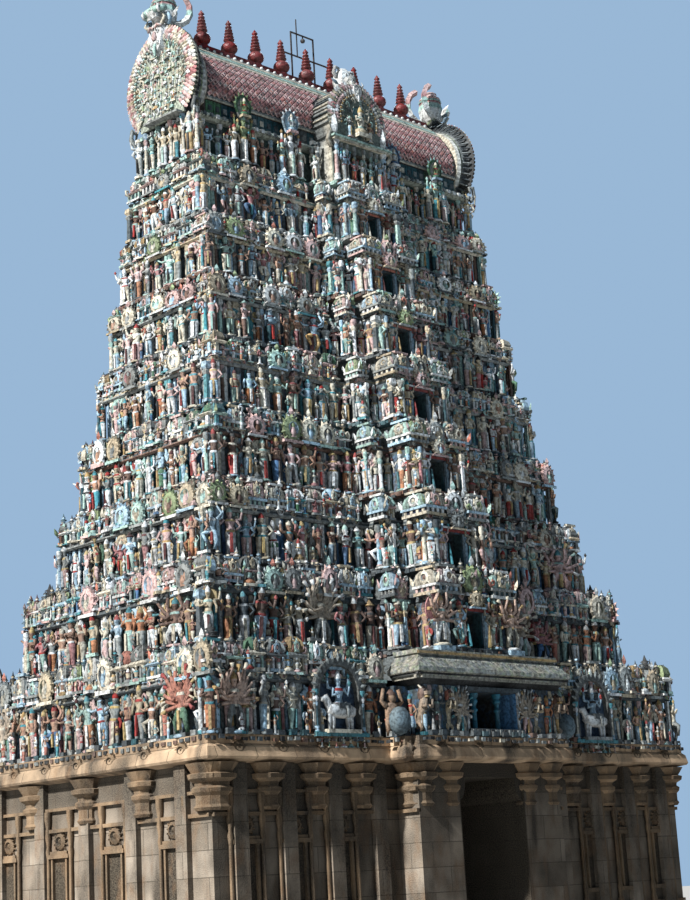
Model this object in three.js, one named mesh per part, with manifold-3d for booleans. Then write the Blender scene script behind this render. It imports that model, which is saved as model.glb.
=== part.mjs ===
// Temple gateway tower at half size: granite base with a passage, eight painted storeys, barrel roof
// Lengths are written as metres of the real tower and become millimetres of the model through unit.
import * as THREE from "three";
import { mergeVertices } from "three/addons/utils/BufferGeometryUtils.js";
import Module from "manifold-3d";

const wasm = await Module();
wasm.setup();

// Scale and clearances
const modelScale = 0.5;
const unit = 1000 * modelScale;
const seam = 0.3 / unit;

// Storeys: heights shrink by a steady step, plans by a batter that flares at the foot
const storeyCount = 8;
const baseHeight = 12.4;
const firstStorey = 4.25;
const storeyLoss = 0.157;
const lengthBatter = { top: 9.8, flare: 6.42, decay: 0.31 };
const widthBatter = { foot: 6.95, step: 0.53, flare: 2.43, decay: 0.9 };
const bayFrontBatter = { foot: 10.5, step: 0.87 };
const bayHalfBatter = { top: 2.0, flare: 2.9, decay: 1.3 };
const shoulder = { extra: 1.25, loss: 0.05, share: 0.4 };
const bayLedge = 0.45;
const wallShare = 0.55;
const slabThickness = 0.3;
const figureShelf = { foot: 0.7, loss: 0.03 };
const wallThickness = { foot: 1.2, loss: 0.07 };
const door = { width: 1.35, widthLoss: 0.09, heightShare: 0.44 };
const lastFullRow = 4;
const topStoreyExtra = 0.2;
const ledge = { under: 0.22, lip: 0.1, crown: 0.05 };
const eave = { foot: 0.85, edge: 0.55, crown: 0.7, lipHeight: 0.12, height: 0.3, wallInset: 0.3 };
const shrine = { inset: 0.6, corner: 1.55, cornerLoss: 0.05, depthExtra: 0.5, sunk: 0.06 };
const facingShare = { width: 0.85, height: 0.94 };

// Granite base
const passage = { half: 2.2, topHalf: 1.7, height: 10.6, springing: 9.5 };
const base = { halfLength: 15.75, halfWidth: 8.75, porchHalf: 4.9, porchFront: 10.1 };
const plinth = { height: 3.0, spread: 0.75 };
const corniceBottom = 11.25;
const corniceSpread = 0.67;
const pilaster = { width: 0.75, depth: 0.28 };

// Balcony over the passage
const balcony = { half: 1.8, height: 2.1, pillarX: 0.8, pillarY: 10.05, pillarRadius: 0.15 };
const canopy = { half: 5.3, front: 11.0, back: 8.95, top: 3.95, setBack: 0.05 };

// Neck, barrel roof and gables, measured from the top cornice up
const neck = { halfLength: 9.5, halfWidth: 2.05, wall: 0.55, height: 2.05, corniceTop: 2.4 };
const neckLedge = { halfLength: 10.15, halfWidth: 2.55 };
const roof = { halfLength: 9.25, foot: 2.1, band: 1.0, eave: 2.25, belly: 2.75, haunch: 1.6, top: 7.15 };
const roofShell = 0.35;
const gable = { inner: 9.28, outer: 10.35, radius: 2.9, foot: 1.8, apex: 7.7 };
const gableBack = { radius: 2.6, apex: 7.05 };
const gableHead = { radius: 0.8, tall: 1.4, lift: 0.9, setBack: 0.35 };
const dormer = { half: 1.9, front: 3.75, radius: 1.9, foot: 1.5, apex: 5.9, back: 1.2 };
const dormerHead = { radius: 0.62, tall: 1.25, lift: 0.65, setBack: 0.9 };
const dormerNiche = { half: 1.1, depth: 0.8, bottom: 0.3, top: 1.9 };
const ridge = { half: 0.33, height: 0.35, roofHalf: 0.36 };
const finial = { count: 9, spacing: 1.868, height: 2.19 };
const lampFrame = { rail: 9.2, left: -1.4, right: 1.9, legs: [-0.78, 0.9], top: 10.6, bar: 0.07 };
const frameBehind = 0.3;
const mast = { x: -0.34, top: 11.5, bar: 0.05 };
const lamp = { x: 0.12, radius: 0.14, drop: 0.3 };

// Three.js geometry to a solid that can be joined and cut, and back
function solidFrom(geometry) {
  const bare = geometry.index ? geometry.toNonIndexed() : geometry.clone();
  bare.deleteAttribute("normal");
  bare.deleteAttribute("uv");
  const merged = mergeVertices(bare, 1e-3);
  return new wasm.Manifold(
    new wasm.Mesh({
      numProp: 3,
      vertProperties: new Float32Array(merged.attributes.position.array),
      triVerts: new Uint32Array(merged.index.array),
    }),
  );
}

function geometryFrom(solid) {
  const mesh = solid.getMesh();
  const geometry = new THREE.BufferGeometry();
  geometry.setAttribute("position", new THREE.BufferAttribute(mesh.vertProperties, 3));
  geometry.setIndex(new THREE.BufferAttribute(mesh.triVerts, 1));
  const flat = geometry.toNonIndexed();
  flat.computeVertexNormals();
  return flat;
}

function joined(solids) {
  return solids.reduce((whole, solid) => whole.add(solid));
}

// A closed body through outlines with the same number of points, listed from the bottom up
function loft(rings) {
  const count = rings[0].outline.length;
  const positions = [];
  const addPoint = (ring, index) => {
    const [x, y] = ring.outline[index % count];
    positions.push(x * unit, y * unit, ring.z * unit);
  };
  for (let level = 0; level + 1 < rings.length; level += 1) {
    const lower = rings[level];
    const upper = rings[level + 1];
    for (let index = 0; index < count; index += 1) {
      addPoint(lower, index);
      addPoint(lower, index + 1);
      addPoint(upper, index + 1);
      addPoint(lower, index);
      addPoint(upper, index + 1);
      addPoint(upper, index);
    }
  }
  addCap(rings[0], addPoint, true);
  addCap(rings[rings.length - 1], addPoint, false);
  const geometry = new THREE.BufferGeometry();
  geometry.setAttribute("position", new THREE.Float32BufferAttribute(positions, 3));
  return geometry;
}

function addCap(ring, addPoint, facesDown) {
  const contour = ring.outline.map(([x, y]) => new THREE.Vector2(x, y));
  for (const face of THREE.ShapeUtils.triangulateShape(contour, [])) {
    const order = facesDown ? [...face].reverse() : face;
    order.forEach((index) => addPoint(ring, index));
  }
}

function block(x0, x1, y0, y1, z0, z1) {
  const geometry = new THREE.BoxGeometry((x1 - x0) * unit, (y1 - y0) * unit, (z1 - z0) * unit);
  geometry.translate(((x0 + x1) / 2) * unit, ((y0 + y1) / 2) * unit, ((z0 + z1) / 2) * unit);
  return solidFrom(geometry);
}

function rectangle(halfX, halfY) {
  return [[-halfX, -halfY], [halfX, -halfY], [halfX, halfY], [-halfX, halfY]];
}

// Plan of a rectangle whose front and back step out at the middle; steps run from the outer one in
function steppedPlan(halfX, halfY, steps) {
  const front = [[-halfX, -halfY]];
  let y = -halfY;
  for (const step of steps) {
    front.push([-step.half, y]);
    y = -step.front;
    front.push([-step.half, y]);
  }
  const right = front.map(([px, py]) => [-px, py]).reverse();
  const frontSide = [...front, ...right];
  const backSide = frontSide.map(([px, py]) => [-px, -py]);
  return [...frontSide, ...backSide];
}

// Storey sizes, counted from 1; level 9 is the top cornice
function storeyHeight(k) {
  return firstStorey - storeyLoss * (k - 1) + (k === storeyCount ? topStoreyExtra : 0);
}

function ledgeLevel(k) {
  let level = baseHeight;
  for (let below = 1; below < k; below += 1) level += storeyHeight(below);
  return level;
}

function halfLength(k) {
  return lengthBatter.top + lengthBatter.flare * Math.exp(-lengthBatter.decay * (k - 1));
}

function halfWidth(k) {
  const batter = widthBatter;
  return batter.foot - batter.step * (k - 1) + batter.flare * Math.exp(-batter.decay * (k - 1));
}

function bayFront(k) {
  return bayFrontBatter.foot - bayFrontBatter.step * (k - 1);
}

function bayHalf(k) {
  return bayHalfBatter.top + bayHalfBatter.flare * Math.exp(-bayHalfBatter.decay * (k - 1));
}

function shoulderHalf(k) {
  return bayHalf(k) + shoulder.extra - shoulder.loss * (k - 1);
}

function shoulderFront(k, front) {
  return halfWidth(k) + shoulder.share * (front - halfWidth(k));
}

function shelfDepth(k) {
  return figureShelf.foot - figureShelf.loss * (k - 1);
}

// The ledge of a storey, drawn in by inset all round
function ledgePlan(k, inset) {
  const front = bayFront(k) + bayLedge;
  return steppedPlan(halfLength(k) - inset, halfWidth(k) - inset, [
    { half: shoulderHalf(k) - inset, front: shoulderFront(k, front) - inset },
    { half: bayHalf(k) - inset, front: front - inset },
  ]);
}

// The wall behind the figures; its bay stands closer to the ledge than the rest
function wallPlan(k) {
  const shelf = shelfDepth(k);
  const front = bayFront(k);
  return steppedPlan(halfLength(k) - shelf, halfWidth(k) - shelf, [
    { half: shoulderHalf(k) - shelf, front: shoulderFront(k, front) - shelf / 2 },
    { half: bayHalf(k) - shelf / 2, front },
  ]);
}

// The room inside a storey is as wide as the storey above lets it be, so the walls carry each other
function cavityHalf(k) {
  const solid = shelfDepth(k + 1) + wallThickness.foot - wallThickness.loss * k;
  return { x: halfLength(k + 1) - solid, y: halfWidth(k + 1) - solid };
}

function cavity(k, z0, z1) {
  const half = cavityHalf(k);
  return block(-half.x, half.x, -half.y, half.y, z0, z1);
}

// A floor slab that runs out as the painted ledge under a storey
function ledgeSlab(k) {
  const bottom = -slabThickness;
  return solidFrom(
    loft([
      { z: bottom, outline: ledgePlan(k, ledge.under) },
      { z: bottom + ledge.lip, outline: ledgePlan(k, 0) },
      { z: 0, outline: ledgePlan(k, ledge.crown) },
    ]),
  );
}

function doorway(k, width, height) {
  const half = cavityHalf(k);
  const reach = bayFront(k) + 1;
  const front = block(-width / 2, width / 2, -reach, -half.y + 0.2, seam, height);
  const back = block(-width / 2, width / 2, half.y - 0.2, reach, seam, height);
  return front.add(back);
}

// Hollow wall ring of a storey with its front and back doorways
function storeyWalls(k) {
  const top = wallShare * storeyHeight(k) - seam;
  const plan = wallPlan(k);
  const solid = solidFrom(loft([{ z: seam, outline: plan }, { z: top, outline: plan }]));
  const isBalcony = k === 1;
  const width = isBalcony ? balcony.half * 2 : door.width - door.widthLoss * (k - 2);
  const height = isBalcony ? balcony.height : door.heightShare * storeyHeight(k);
  return solid.subtract(cavity(k, 0, top + 1)).subtract(doorway(k, width, height));
}

// Small shrines of the parapet, drawn with their front at -Y and their foot at the origin
function shrineSection(half, height) {
  const shape = new THREE.Shape();
  shape.moveTo(-half * 0.8, 0);
  shape.lineTo(half * 0.8, 0);
  shape.lineTo(half * 0.8, height * 0.42);
  shape.lineTo(half, height * 0.58);
  shape.lineTo(half * 0.7, height * 0.86);
  shape.lineTo(0, height);
  shape.lineTo(-half * 0.7, height * 0.86);
  shape.lineTo(-half, height * 0.58);
  shape.lineTo(-half * 0.8, height * 0.42);
  shape.closePath();
  return shape;
}

function extruded(shape, depth) {
  return new THREE.ExtrudeGeometry(shape, { depth, bevelEnabled: false, steps: 1 });
}

// Square shrine with an eight-sided dome, for the corners
function cornerShrine(size, height) {
  const square = (half) => [
    [half, 0], [half, half], [0, half], [-half, half], [-half, 0], [-half, -half], [0, -half], [half, -half],
  ];
  const octagon = (radius) =>
    square(radius).map(([x, y]) => (x && y ? [x * 0.72, y * 0.72] : [x, y]));
  return solidFrom(
    loft([
      { z: 0, outline: square(size * 0.42) },
      { z: height * 0.45, outline: square(size * 0.46) },
      { z: height * 0.76, outline: octagon(size * 0.47) },
      { z: height, outline: octagon(size * 0.1) },
    ]),
  );
}

// Narrow shrine whose arched end faces out
function facingShrine(width, depth, height) {
  const body = extruded(shrineSection((width / 2) * unit, height * unit), depth * unit);
  body.rotateX(Math.PI / 2);
  body.translate(0, (depth / 2) * unit, 0);
  return solidFrom(body);
}

// Oblong shrine whose barrel roof runs along the wall
function longShrine(width, depth, height) {
  const body = extruded(shrineSection((depth / 2) * unit, height * unit), width * unit);
  body.rotateX(Math.PI / 2);
  body.rotateZ(Math.PI / 2);
  body.translate((-width / 2) * unit, 0, 0);
  return solidFrom(body);
}

function placed(solid, x, y, z, quarterTurns) {
  return solid.rotate([0, 0, quarterTurns * 90]).translate([x * unit, y * unit, z * unit]);
}

// Shrines along the front and one end; the other two sides repeat them turned by half a turn
function sideShrines(k, foot, height) {
  const size = shrine.corner - shrine.cornerLoss * (k - 1);
  const inset = shrine.inset * shelfDepth(k);
  const edgeX = halfLength(k) - inset;
  const edgeY = halfWidth(k) - inset;
  const depthY = edgeY - halfWidth(k + 1) + shrine.depthExtra;
  const depthX = edgeX - halfLength(k + 1) + shrine.depthExtra;
  const solids = [];
  for (const side of [-1, 1]) {
    const corner = cornerShrine(size, height);
    solids.push(placed(corner, side * (edgeX - size / 2), -(edgeY - size / 2), foot, 0));
    const inner = shoulderHalf(k) + 0.2;
    const outer = edgeX - size - 0.15;
    const pitch = (outer - inner) / 4;
    const middle = (inner + outer) / 2;
    const longOne = longShrine(pitch * (k > lastFullRow ? 3.4 : 1.7), depthY, height);
    solids.push(placed(longOne, side * middle, -(edgeY - depthY / 2), foot, 0));
    if (k > lastFullRow) continue;
    for (const offset of [-1.5, 1.5]) {
      const facing = facingShrine(pitch * facingShare.width, depthY, height * facingShare.height);
      const x = side * (middle + offset * pitch);
      solids.push(placed(facing, x, -(edgeY - depthY / 2), foot, 0));
    }
  }
  const endRoom = 2 * (edgeY - size) - 0.3;
  const middleShare = k > lastFullRow ? 0.8 : 0.42;
  const endMiddle = longShrine(endRoom * middleShare, depthX, height);
  solids.push(placed(endMiddle, -(edgeX - depthX / 2), 0, foot, 3));
  if (k > lastFullRow) return solids;
  for (const side of [-1, 1]) {
    const facing = facingShrine(endRoom * 0.2, depthX, height * facingShare.height);
    solids.push(placed(facing, -(edgeX - depthX / 2), side * endRoom * 0.38, foot, 3));
  }
  return solids;
}

function bayShrine(k, foot, height) {
  const front = bayFront(k) + bayLedge - shrine.inset * shelfDepth(k);
  const depth = front - bayFront(k + 1) + 0.3;
  const width = 2 * bayHalf(k) - 0.4;
  return placed(longShrine(width, depth, height), 0, -(front - depth / 2), foot, 0);
}

// Eave, upper wall and the row of small shrines that closes a storey
function storeyShrines(k) {
  const bottom = wallShare * storeyHeight(k);
  const top = storeyHeight(k) - slabThickness - seam;
  const shelfTop = bottom + eave.height;
  const plan = k === 1 ? balconyEavePlan : ledgePlan;
  const shelf = shelfDepth(k);
  const upper = k === 1 ? balconyUpperPlan() : ledgePlan(k + 1, eave.wallInset);
  const ring = solidFrom(
    loft([
      { z: bottom, outline: plan(k, shelf * eave.foot) },
      { z: bottom + eave.lipHeight, outline: plan(k, shelf * eave.edge) },
      { z: shelfTop, outline: plan(k, shelf * eave.crown) },
      { z: shelfTop + 0.02, outline: upper },
      { z: top, outline: upper },
    ]),
  );
  const foot = shelfTop - shrine.sunk;
  const height = top - foot - shrine.sunk / 2;
  const half = sideShrines(k, foot, height);
  if (k > 1) half.push(bayShrine(k, foot, height));
  const front = joined(half);
  const whole = ring.add(front).add(front.rotate([0, 0, 180]));
  return whole.subtract(cavity(k, 0, storeyHeight(k) + 1));
}

// Storey 1 has no bay above its walls, because the canopy stands there
function balconyEavePlan(k, inset) {
  return steppedPlan(halfLength(k) - inset, halfWidth(k) - inset, [
    { half: canopy.half + 0.2 + inset, front: canopy.back - seam * 2 },
    { half: canopy.half + 0.1, front: canopy.back - canopy.setBack },
  ]);
}

function balconyUpperPlan() {
  return steppedPlan(halfLength(2) - eave.wallInset, halfWidth(2) - eave.wallInset, [
    { half: shoulderHalf(2), front: shoulderFront(2, bayFront(2)) },
    { half: bayHalf(2), front: canopy.back - 0.1 },
  ]);
}

// Sloping stone canopy over the balcony, with a rolled lip and a flat top that carries the bay above
function balconyCanopy() {
  const bottom = wallShare * storeyHeight(1);
  const plan = (inset) => [
    [-canopy.half + inset, -canopy.front + inset],
    [canopy.half - inset, -canopy.front + inset],
    [canopy.half - inset, -canopy.back],
    [-canopy.half + inset, -canopy.back],
  ];
  return solidFrom(
    loft([
      { z: bottom, outline: plan(0.55) },
      { z: bottom + 0.5, outline: plan(0.12) },
      { z: bottom + 0.55, outline: plan(0) },
      { z: bottom + 0.75, outline: plan(0.02) },
      { z: bottom + 0.85, outline: plan(0.12) },
      { z: canopy.top - 0.25, outline: plan(0.55) },
      { z: canopy.top - 0.2, outline: plan(0.45) },
      { z: canopy.top - seam, outline: plan(0.45) },
    ]),
  );
}

function turnedPillar(radius, height) {
  const profile = [
    [0, 0],
    [radius * 1.9, 0],
    [radius * 1.9, height * 0.14],
    [radius, height * 0.18],
    [radius * 0.85, height * 0.74],
    [radius * 1.5, height * 0.8],
    [radius * 0.9, height * 0.86],
    [radius * 1.9, height * 0.94],
    [radius * 1.9, height],
    [0, height],
  ];
  const points = profile.map(([r, z]) => new THREE.Vector2(r * unit, z * unit));
  const geometry = new THREE.LatheGeometry(points, 10);
  geometry.rotateX(Math.PI / 2);
  return solidFrom(geometry);
}

// Left half of the granite base seen from above, between the outer faces and the passage
function flankPlan(spread, pilasters) {
  const outerX = -(base.halfLength + spread);
  const faceY = -(base.halfWidth + spread);
  const porchX = -(base.porchHalf + spread);
  const porchY = -(base.porchFront + spread);
  const longFace = [];
  if (pilasters) longFace.push(...pilasterSteps(outerX, porchX, faceY, 4));
  const half = [
    [outerX, faceY],
    ...longFace,
    [porchX, faceY],
    [porchX, porchY],
    [-passage.half, porchY],
  ];
  const mirrored = half.map(([x, y]) => [x, -y]).reverse();
  const endFace = pilasters ? pilasterSteps(faceY, -faceY, outerX, 5).map(([s, out]) => [out, -s]) : [];
  return [...half, ...mirrored, ...endFace];
}

// Corner points of evenly spaced pilasters that stand proud of a face lying on the negative side
function pilasterSteps(from, to, face, count) {
  const pitch = (to - from) / count;
  const steps = [];
  for (let index = 0; index < count; index += 1) {
    const centre = from + pitch * (index + 0.5);
    steps.push([centre - pilaster.width / 2, face]);
    steps.push([centre - pilaster.width / 2, face - pilaster.depth]);
    steps.push([centre + pilaster.width / 2, face - pilaster.depth]);
    steps.push([centre + pilaster.width / 2, face]);
  }
  return steps;
}

function plinthFlank() {
  const mouldings = [
    [0, 0], [0.45, 0], [0.5, 0.1], [1.0, 0.12], [1.15, 0.35], [1.6, 0.2], [1.9, 0.38],
    [2.0, 0.5], [2.35, 0.5], [2.45, 0.3], [2.7, 0.28], [2.8, 0.42], [plinth.height - seam, 0.42],
  ];
  return solidFrom(
    loft(mouldings.map(([z, inset]) => ({ z, outline: flankPlan(plinth.spread - inset, false) }))),
  );
}

function graniteFlank() {
  const plan = flankPlan(0, true);
  return solidFrom(loft([{ z: plinth.height, outline: plan }, { z: corniceBottom - seam, outline: plan }]));
}

// Stone ceiling of the passage with corbels that narrow its mouth
function passageCeiling() {
  const half = passage.half - seam;
  const shape = new THREE.Shape();
  shape.moveTo(-half * unit, passage.springing * unit);
  shape.quadraticCurveTo(
    -passage.topHalf * unit, (passage.springing + 0.1) * unit,
    -passage.topHalf * unit, passage.height * unit,
  );
  shape.lineTo(passage.topHalf * unit, passage.height * unit);
  shape.quadraticCurveTo(
    passage.topHalf * unit, (passage.springing + 0.1) * unit,
    half * unit, passage.springing * unit,
  );
  shape.lineTo(half * unit, (corniceBottom - seam) * unit);
  shape.lineTo(-half * unit, (corniceBottom - seam) * unit);
  shape.closePath();
  const depth = 2 * (base.porchFront - 0.1) * unit;
  const geometry = new THREE.ExtrudeGeometry(shape, { depth, bevelEnabled: false, curveSegments: 4 });
  geometry.rotateX(Math.PI / 2);
  geometry.translate(0, depth / 2, 0);
  return solidFrom(geometry);
}

function graniteCornice() {
  const plan = (inset) =>
    steppedPlan(base.halfLength + corniceSpread - inset, base.halfWidth + corniceSpread - inset, [
      { half: base.porchHalf + corniceSpread + 0.3 - inset, front: base.porchFront + 0.3 - inset },
      { half: base.porchHalf + 0.5 - inset, front: base.porchFront + 0.75 - inset },
    ]);
  return solidFrom(
    loft([
      { z: corniceBottom, outline: plan(0.6) },
      { z: corniceBottom + 0.12, outline: plan(0.06) },
      { z: corniceBottom + 0.22, outline: plan(0) },
      { z: corniceBottom + 0.62, outline: plan(0.08) },
      { z: corniceBottom + 0.75, outline: plan(0.22) },
      { z: baseHeight, outline: plan(0.22) },
    ]),
  );
}

// Neck under the roof
function neckWalls() {
  const outer = rectangle(neck.halfLength, neck.halfWidth);
  const top = neck.height - seam;
  const solid = solidFrom(loft([{ z: seam, outline: outer }, { z: top, outline: outer }]));
  const halfX = neck.halfLength - neck.wall;
  const halfY = neck.halfWidth - neck.wall;
  return solid.subtract(block(-halfX, halfX, -halfY, halfY, 0, top + 1));
}

function neckCornice(growth) {
  const halfX = neckLedge.halfLength + growth;
  const halfY = neckLedge.halfWidth + growth;
  const plan = (inset) => rectangle(halfX - inset, halfY - inset);
  return solidFrom(
    loft([
      { z: neck.height - growth, outline: plan(0.3) },
      { z: neck.height + 0.12, outline: plan(0) },
      { z: neck.height + 0.25, outline: plan(0.04) },
      { z: neck.corniceTop - seam + growth, outline: plan(0.2) },
    ]),
  );
}

// Right half of the pointed barrel section, from the foot to the ridge, drawn in by inset
function barrelSide(inset) {
  const eaveLevel = neck.corniceTop + roof.band;
  const foot = new THREE.Vector2(roof.foot - inset, neck.corniceTop);
  const bandTop = new THREE.Vector2(roof.foot - inset, eaveLevel - 0.06);
  const swell = new THREE.CubicBezierCurve(
    new THREE.Vector2(roof.eave - inset, eaveLevel),
    new THREE.Vector2(roof.belly - inset, eaveLevel + 1.3),
    new THREE.Vector2(roof.haunch - inset, roof.top - 1.15 - inset),
    new THREE.Vector2(ridge.roofHalf, roof.top - inset),
  );
  return [foot, bandTop, ...swell.getPoints(8)];
}

function mirroredPath(side) {
  const left = side.map((point) => new THREE.Vector2(-point.x, point.y)).reverse();
  return [...side, ...left];
}

function alongX(shape, x0, x1) {
  const geometry = new THREE.ExtrudeGeometry(shape, { depth: (x1 - x0) * unit, bevelEnabled: false });
  geometry.rotateX(Math.PI / 2);
  geometry.rotateZ(Math.PI / 2);
  geometry.translate(x0 * unit, 0, 0);
  return solidFrom(geometry);
}

function scaledShape(points) {
  return new THREE.Shape(points.map((point) => point.clone().multiplyScalar(unit)));
}

function barrelRoof() {
  const outer = barrelSide(0);
  const inner = barrelSide(roofShell);
  const innerLeft = inner.map((point) => new THREE.Vector2(-point.x, point.y));
  const outerLeft = outer.map((point) => new THREE.Vector2(-point.x, point.y)).reverse();
  const section = [...outer, ...outerLeft, ...innerLeft, ...[...inner].reverse()];
  return alongX(scaledShape(section), -roof.halfLength, roof.halfLength);
}

function filledRoof(growth) {
  const half = roof.halfLength + growth;
  return alongX(scaledShape(mirroredPath(barrelSide(-growth))), -half, half);
}

// Horseshoe outline in the plane of a gable: across, up
function horseshoe(radius, foot, bottom, apex, steps) {
  const pointLift = 1.06;
  const startAngle = -0.55;
  const centre = apex - radius * pointLift;
  const points = [[foot, bottom], [foot, centre + radius * Math.sin(startAngle) - 0.08]];
  for (let index = 0; index <= steps; index += 1) {
    const angle = startAngle + (index / steps) * (Math.PI / 2 - startAngle);
    const lift = index === steps ? pointLift : 1;
    points.push([radius * Math.cos(angle), centre + radius * Math.sin(angle) * lift]);
  }
  points[points.length - 1][0] = 0;
  const left = points.slice(0, -1).map(([across, up]) => [-across, up]).reverse();
  return [...points, ...left];
}

// A head with a snout, seen from its own centre, looking along +X
function lionHead(head) {
  const skull = new THREE.SphereGeometry(head.radius * unit, 8, 6);
  skull.rotateX(Math.PI / 2);
  skull.scale(0.9, 0.9, head.tall);
  const snout = new THREE.SphereGeometry(head.radius * 0.5 * unit, 6, 4);
  snout.scale(1.1, 1.1, 0.9);
  snout.translate(head.radius * 0.75 * unit, 0, -head.radius * 0.25 * unit);
  return joined([solidFrom(skull), solidFrom(snout)]);
}

// Crescent horn that sweeps back from one side of such a head and rises to a tip
function hornSolid(radius) {
  const path = [[-0.2, 0.6, -0.9], [-1.7, 0.9, -0.75], [-2.0, 0.9, 1.0], [-0.7, 0.7, 1.6]];
  const corners = path.map(([x, y, z]) => new THREE.Vector3(x, y, z).multiplyScalar(radius * unit));
  const section = new THREE.Shape();
  section.absarc(0, 0, radius * 0.24 * unit, 0, Math.PI * 2);
  return solidFrom(
    new THREE.ExtrudeGeometry(section, {
      extrudePath: new THREE.CubicBezierCurve3(...corners), steps: 6, curveSegments: 2, bevelEnabled: false,
    }),
  );
}

// End gable at the +X end: closing wall, drawn-in band, flared rim and face, with a lion head over it
function endGable() {
  const depth = gable.outer - gable.inner;
  const ring = (share, radius, apex) => ({
    z: gable.inner + depth * share,
    outline: horseshoe(radius, gable.foot, neck.corniceTop, apex, 7),
  });
  const body = loft([
    ring(0, gableBack.radius * 0.96, gableBack.apex - 0.1),
    ring(0.2, gableBack.radius, gableBack.apex),
    ring(0.35, gableBack.radius * 0.96, gableBack.apex),
    ring(0.7, gable.radius * 0.93, gable.apex - 0.2),
    ring(0.85, gable.radius * 1.04, gable.apex + 0.08),
    ring(1, gable.radius * 0.95, gable.apex - 0.1),
  ]);
  body.rotateX(Math.PI / 2);
  body.rotateZ(Math.PI / 2);
  const horn = hornSolid(gableHead.radius);
  const head = joined([lionHead(gableHead), horn, horn.mirror([0, 1, 0])]).translate([
    (gable.outer - gableHead.setBack) * unit, 0, (gable.apex + gableHead.lift) * unit,
  ]);
  return solidFrom(body).add(head);
}

// Dormer over the bay: a niche block and a horseshoe hood that dies into the roof
function bayDormer() {
  const blockTop = neck.corniceTop + 0.05;
  const recess = dormerNiche;
  const niche = block(
    -recess.half, recess.half, -dormer.front - 1, -dormer.front + recess.depth, recess.bottom, recess.top,
  );
  const pier = block(-dormer.half, dormer.half, -dormer.front, -neck.halfWidth - seam, seam, blockTop);
  const outline = horseshoe(dormer.radius, dormer.foot, blockTop - 0.2, dormer.apex, 6);
  const grown = horseshoe(dormer.radius * 1.12, dormer.foot, blockTop - 0.2, dormer.apex + 0.2, 6);
  const hood = loft([
    { z: dormer.back, outline },
    { z: dormer.front - 0.15, outline },
    { z: dormer.front - 0.05, outline: grown },
    { z: dormer.front + 0.15, outline },
  ]);
  hood.rotateX(Math.PI / 2);
  const head = lionHead(dormerHead)
    .rotate([0, 0, -90])
    .translate([0, (dormerHead.setBack - dormer.front) * unit, (dormer.apex + dormerHead.lift) * unit]);
  return joined([pier.subtract(niche), solidFrom(hood), head])
    .subtract(filledRoof(seam))
    .subtract(neckCornice(seam));
}

function ridgeBeam() {
  const half = roof.halfLength;
  return block(-half, half, -ridge.half, ridge.half, roof.top + seam, roof.top + ridge.height);
}

// Pot finial of stacked rings over a round pot
function potFinial() {
  const pot = { radius: 0.47, centre: 0.48, stem: 0.13 };
  const ringLevels = [0.98, 1.22, 1.46];
  const profile = [[0, 0], [0.3, 0], [pot.stem, 0.12]];
  for (const angle of [-0.7, 0, 0.7]) {
    profile.push([pot.radius * Math.cos(angle), pot.centre + pot.radius * Math.sin(angle)]);
  }
  ringLevels.forEach((z, index) => {
    profile.push([pot.stem, z - 0.1], [0.31 - 0.02 * index, z]);
  });
  profile.push([pot.stem, 1.58], [0.23, 1.7], [0, finial.height]);
  const points = profile.map(([radius, z]) => new THREE.Vector2(radius * unit, z * unit));
  const geometry = new THREE.LatheGeometry(points, 8);
  geometry.rotateX(Math.PI / 2);
  return solidFrom(geometry);
}

// Light iron frame that stands on the ridge behind the finials
function ironFrame() {
  const bar = lampFrame.bar / 2;
  const y0 = frameBehind - bar;
  const y1 = frameBehind + bar;
  const foot = roof.top + ridge.height + seam;
  const bars = [block(lampFrame.left, lampFrame.right, y0, y1, lampFrame.rail - bar, lampFrame.rail + bar)];
  for (const x of lampFrame.legs) {
    bars.push(block(x - bar, x + bar, y0, y1, foot, lampFrame.top));
  }
  const [left, right] = lampFrame.legs;
  bars.push(block(left - bar, right + bar, y0, y1, lampFrame.top - bar, lampFrame.top + bar));
  const thin = mast.bar / 2;
  const rod = (x, z0, z1) => block(x - thin, x + thin, frameBehind - thin, frameBehind + thin, z0, z1);
  bars.push(rod(mast.x, lampFrame.rail, mast.top));
  bars.push(rod(lamp.x, lampFrame.top - lamp.drop, lampFrame.top));
  const ball = new THREE.SphereGeometry(lamp.radius * unit, 8, 6);
  ball.translate(lamp.x * unit, frameBehind * unit, (lampFrame.top - lamp.drop) * unit);
  bars.push(solidFrom(ball));
  return joined(bars);
}

// Scene graph
const tower = new THREE.Group();
const finishes = {
  granite: { color: 0x9c8468, roughness: 0.9 },
  corniceStone: { color: 0xb08c62, roughness: 0.88 },
  wallPaint: { color: 0x5f8f96, roughness: 0.75 },
  ledgePaint: { color: 0x8fb4b4, roughness: 0.7 },
  shrinePaint: { color: 0xb8b09c, roughness: 0.75 },
  canopyPaint: { color: 0x9a9a8c, roughness: 0.8 },
  pillarPaint: { color: 0x2f9ab0, roughness: 0.6 },
  roofTile: { color: 0xa87f80, roughness: 0.6 },
  gablePlaster: { color: 0xc9bfa4, roughness: 0.8 },
  maroonPaint: { color: 0x6e1c1c, roughness: 0.5 },
  iron: { color: 0x4a4d50, roughness: 0.6, metalness: 0.7 },
};

function addPiece(parent, name, solid, finish) {
  const material = new THREE.MeshStandardMaterial({ metalness: 0, ...finishes[finish] });
  const mesh = new THREE.Mesh(geometryFrom(solid), material);
  mesh.name = name;
  parent.add(mesh);
  return mesh;
}

function groupAt(z) {
  const group = new THREE.Group();
  group.position.z = z * unit;
  tower.add(group);
  return group;
}

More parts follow.
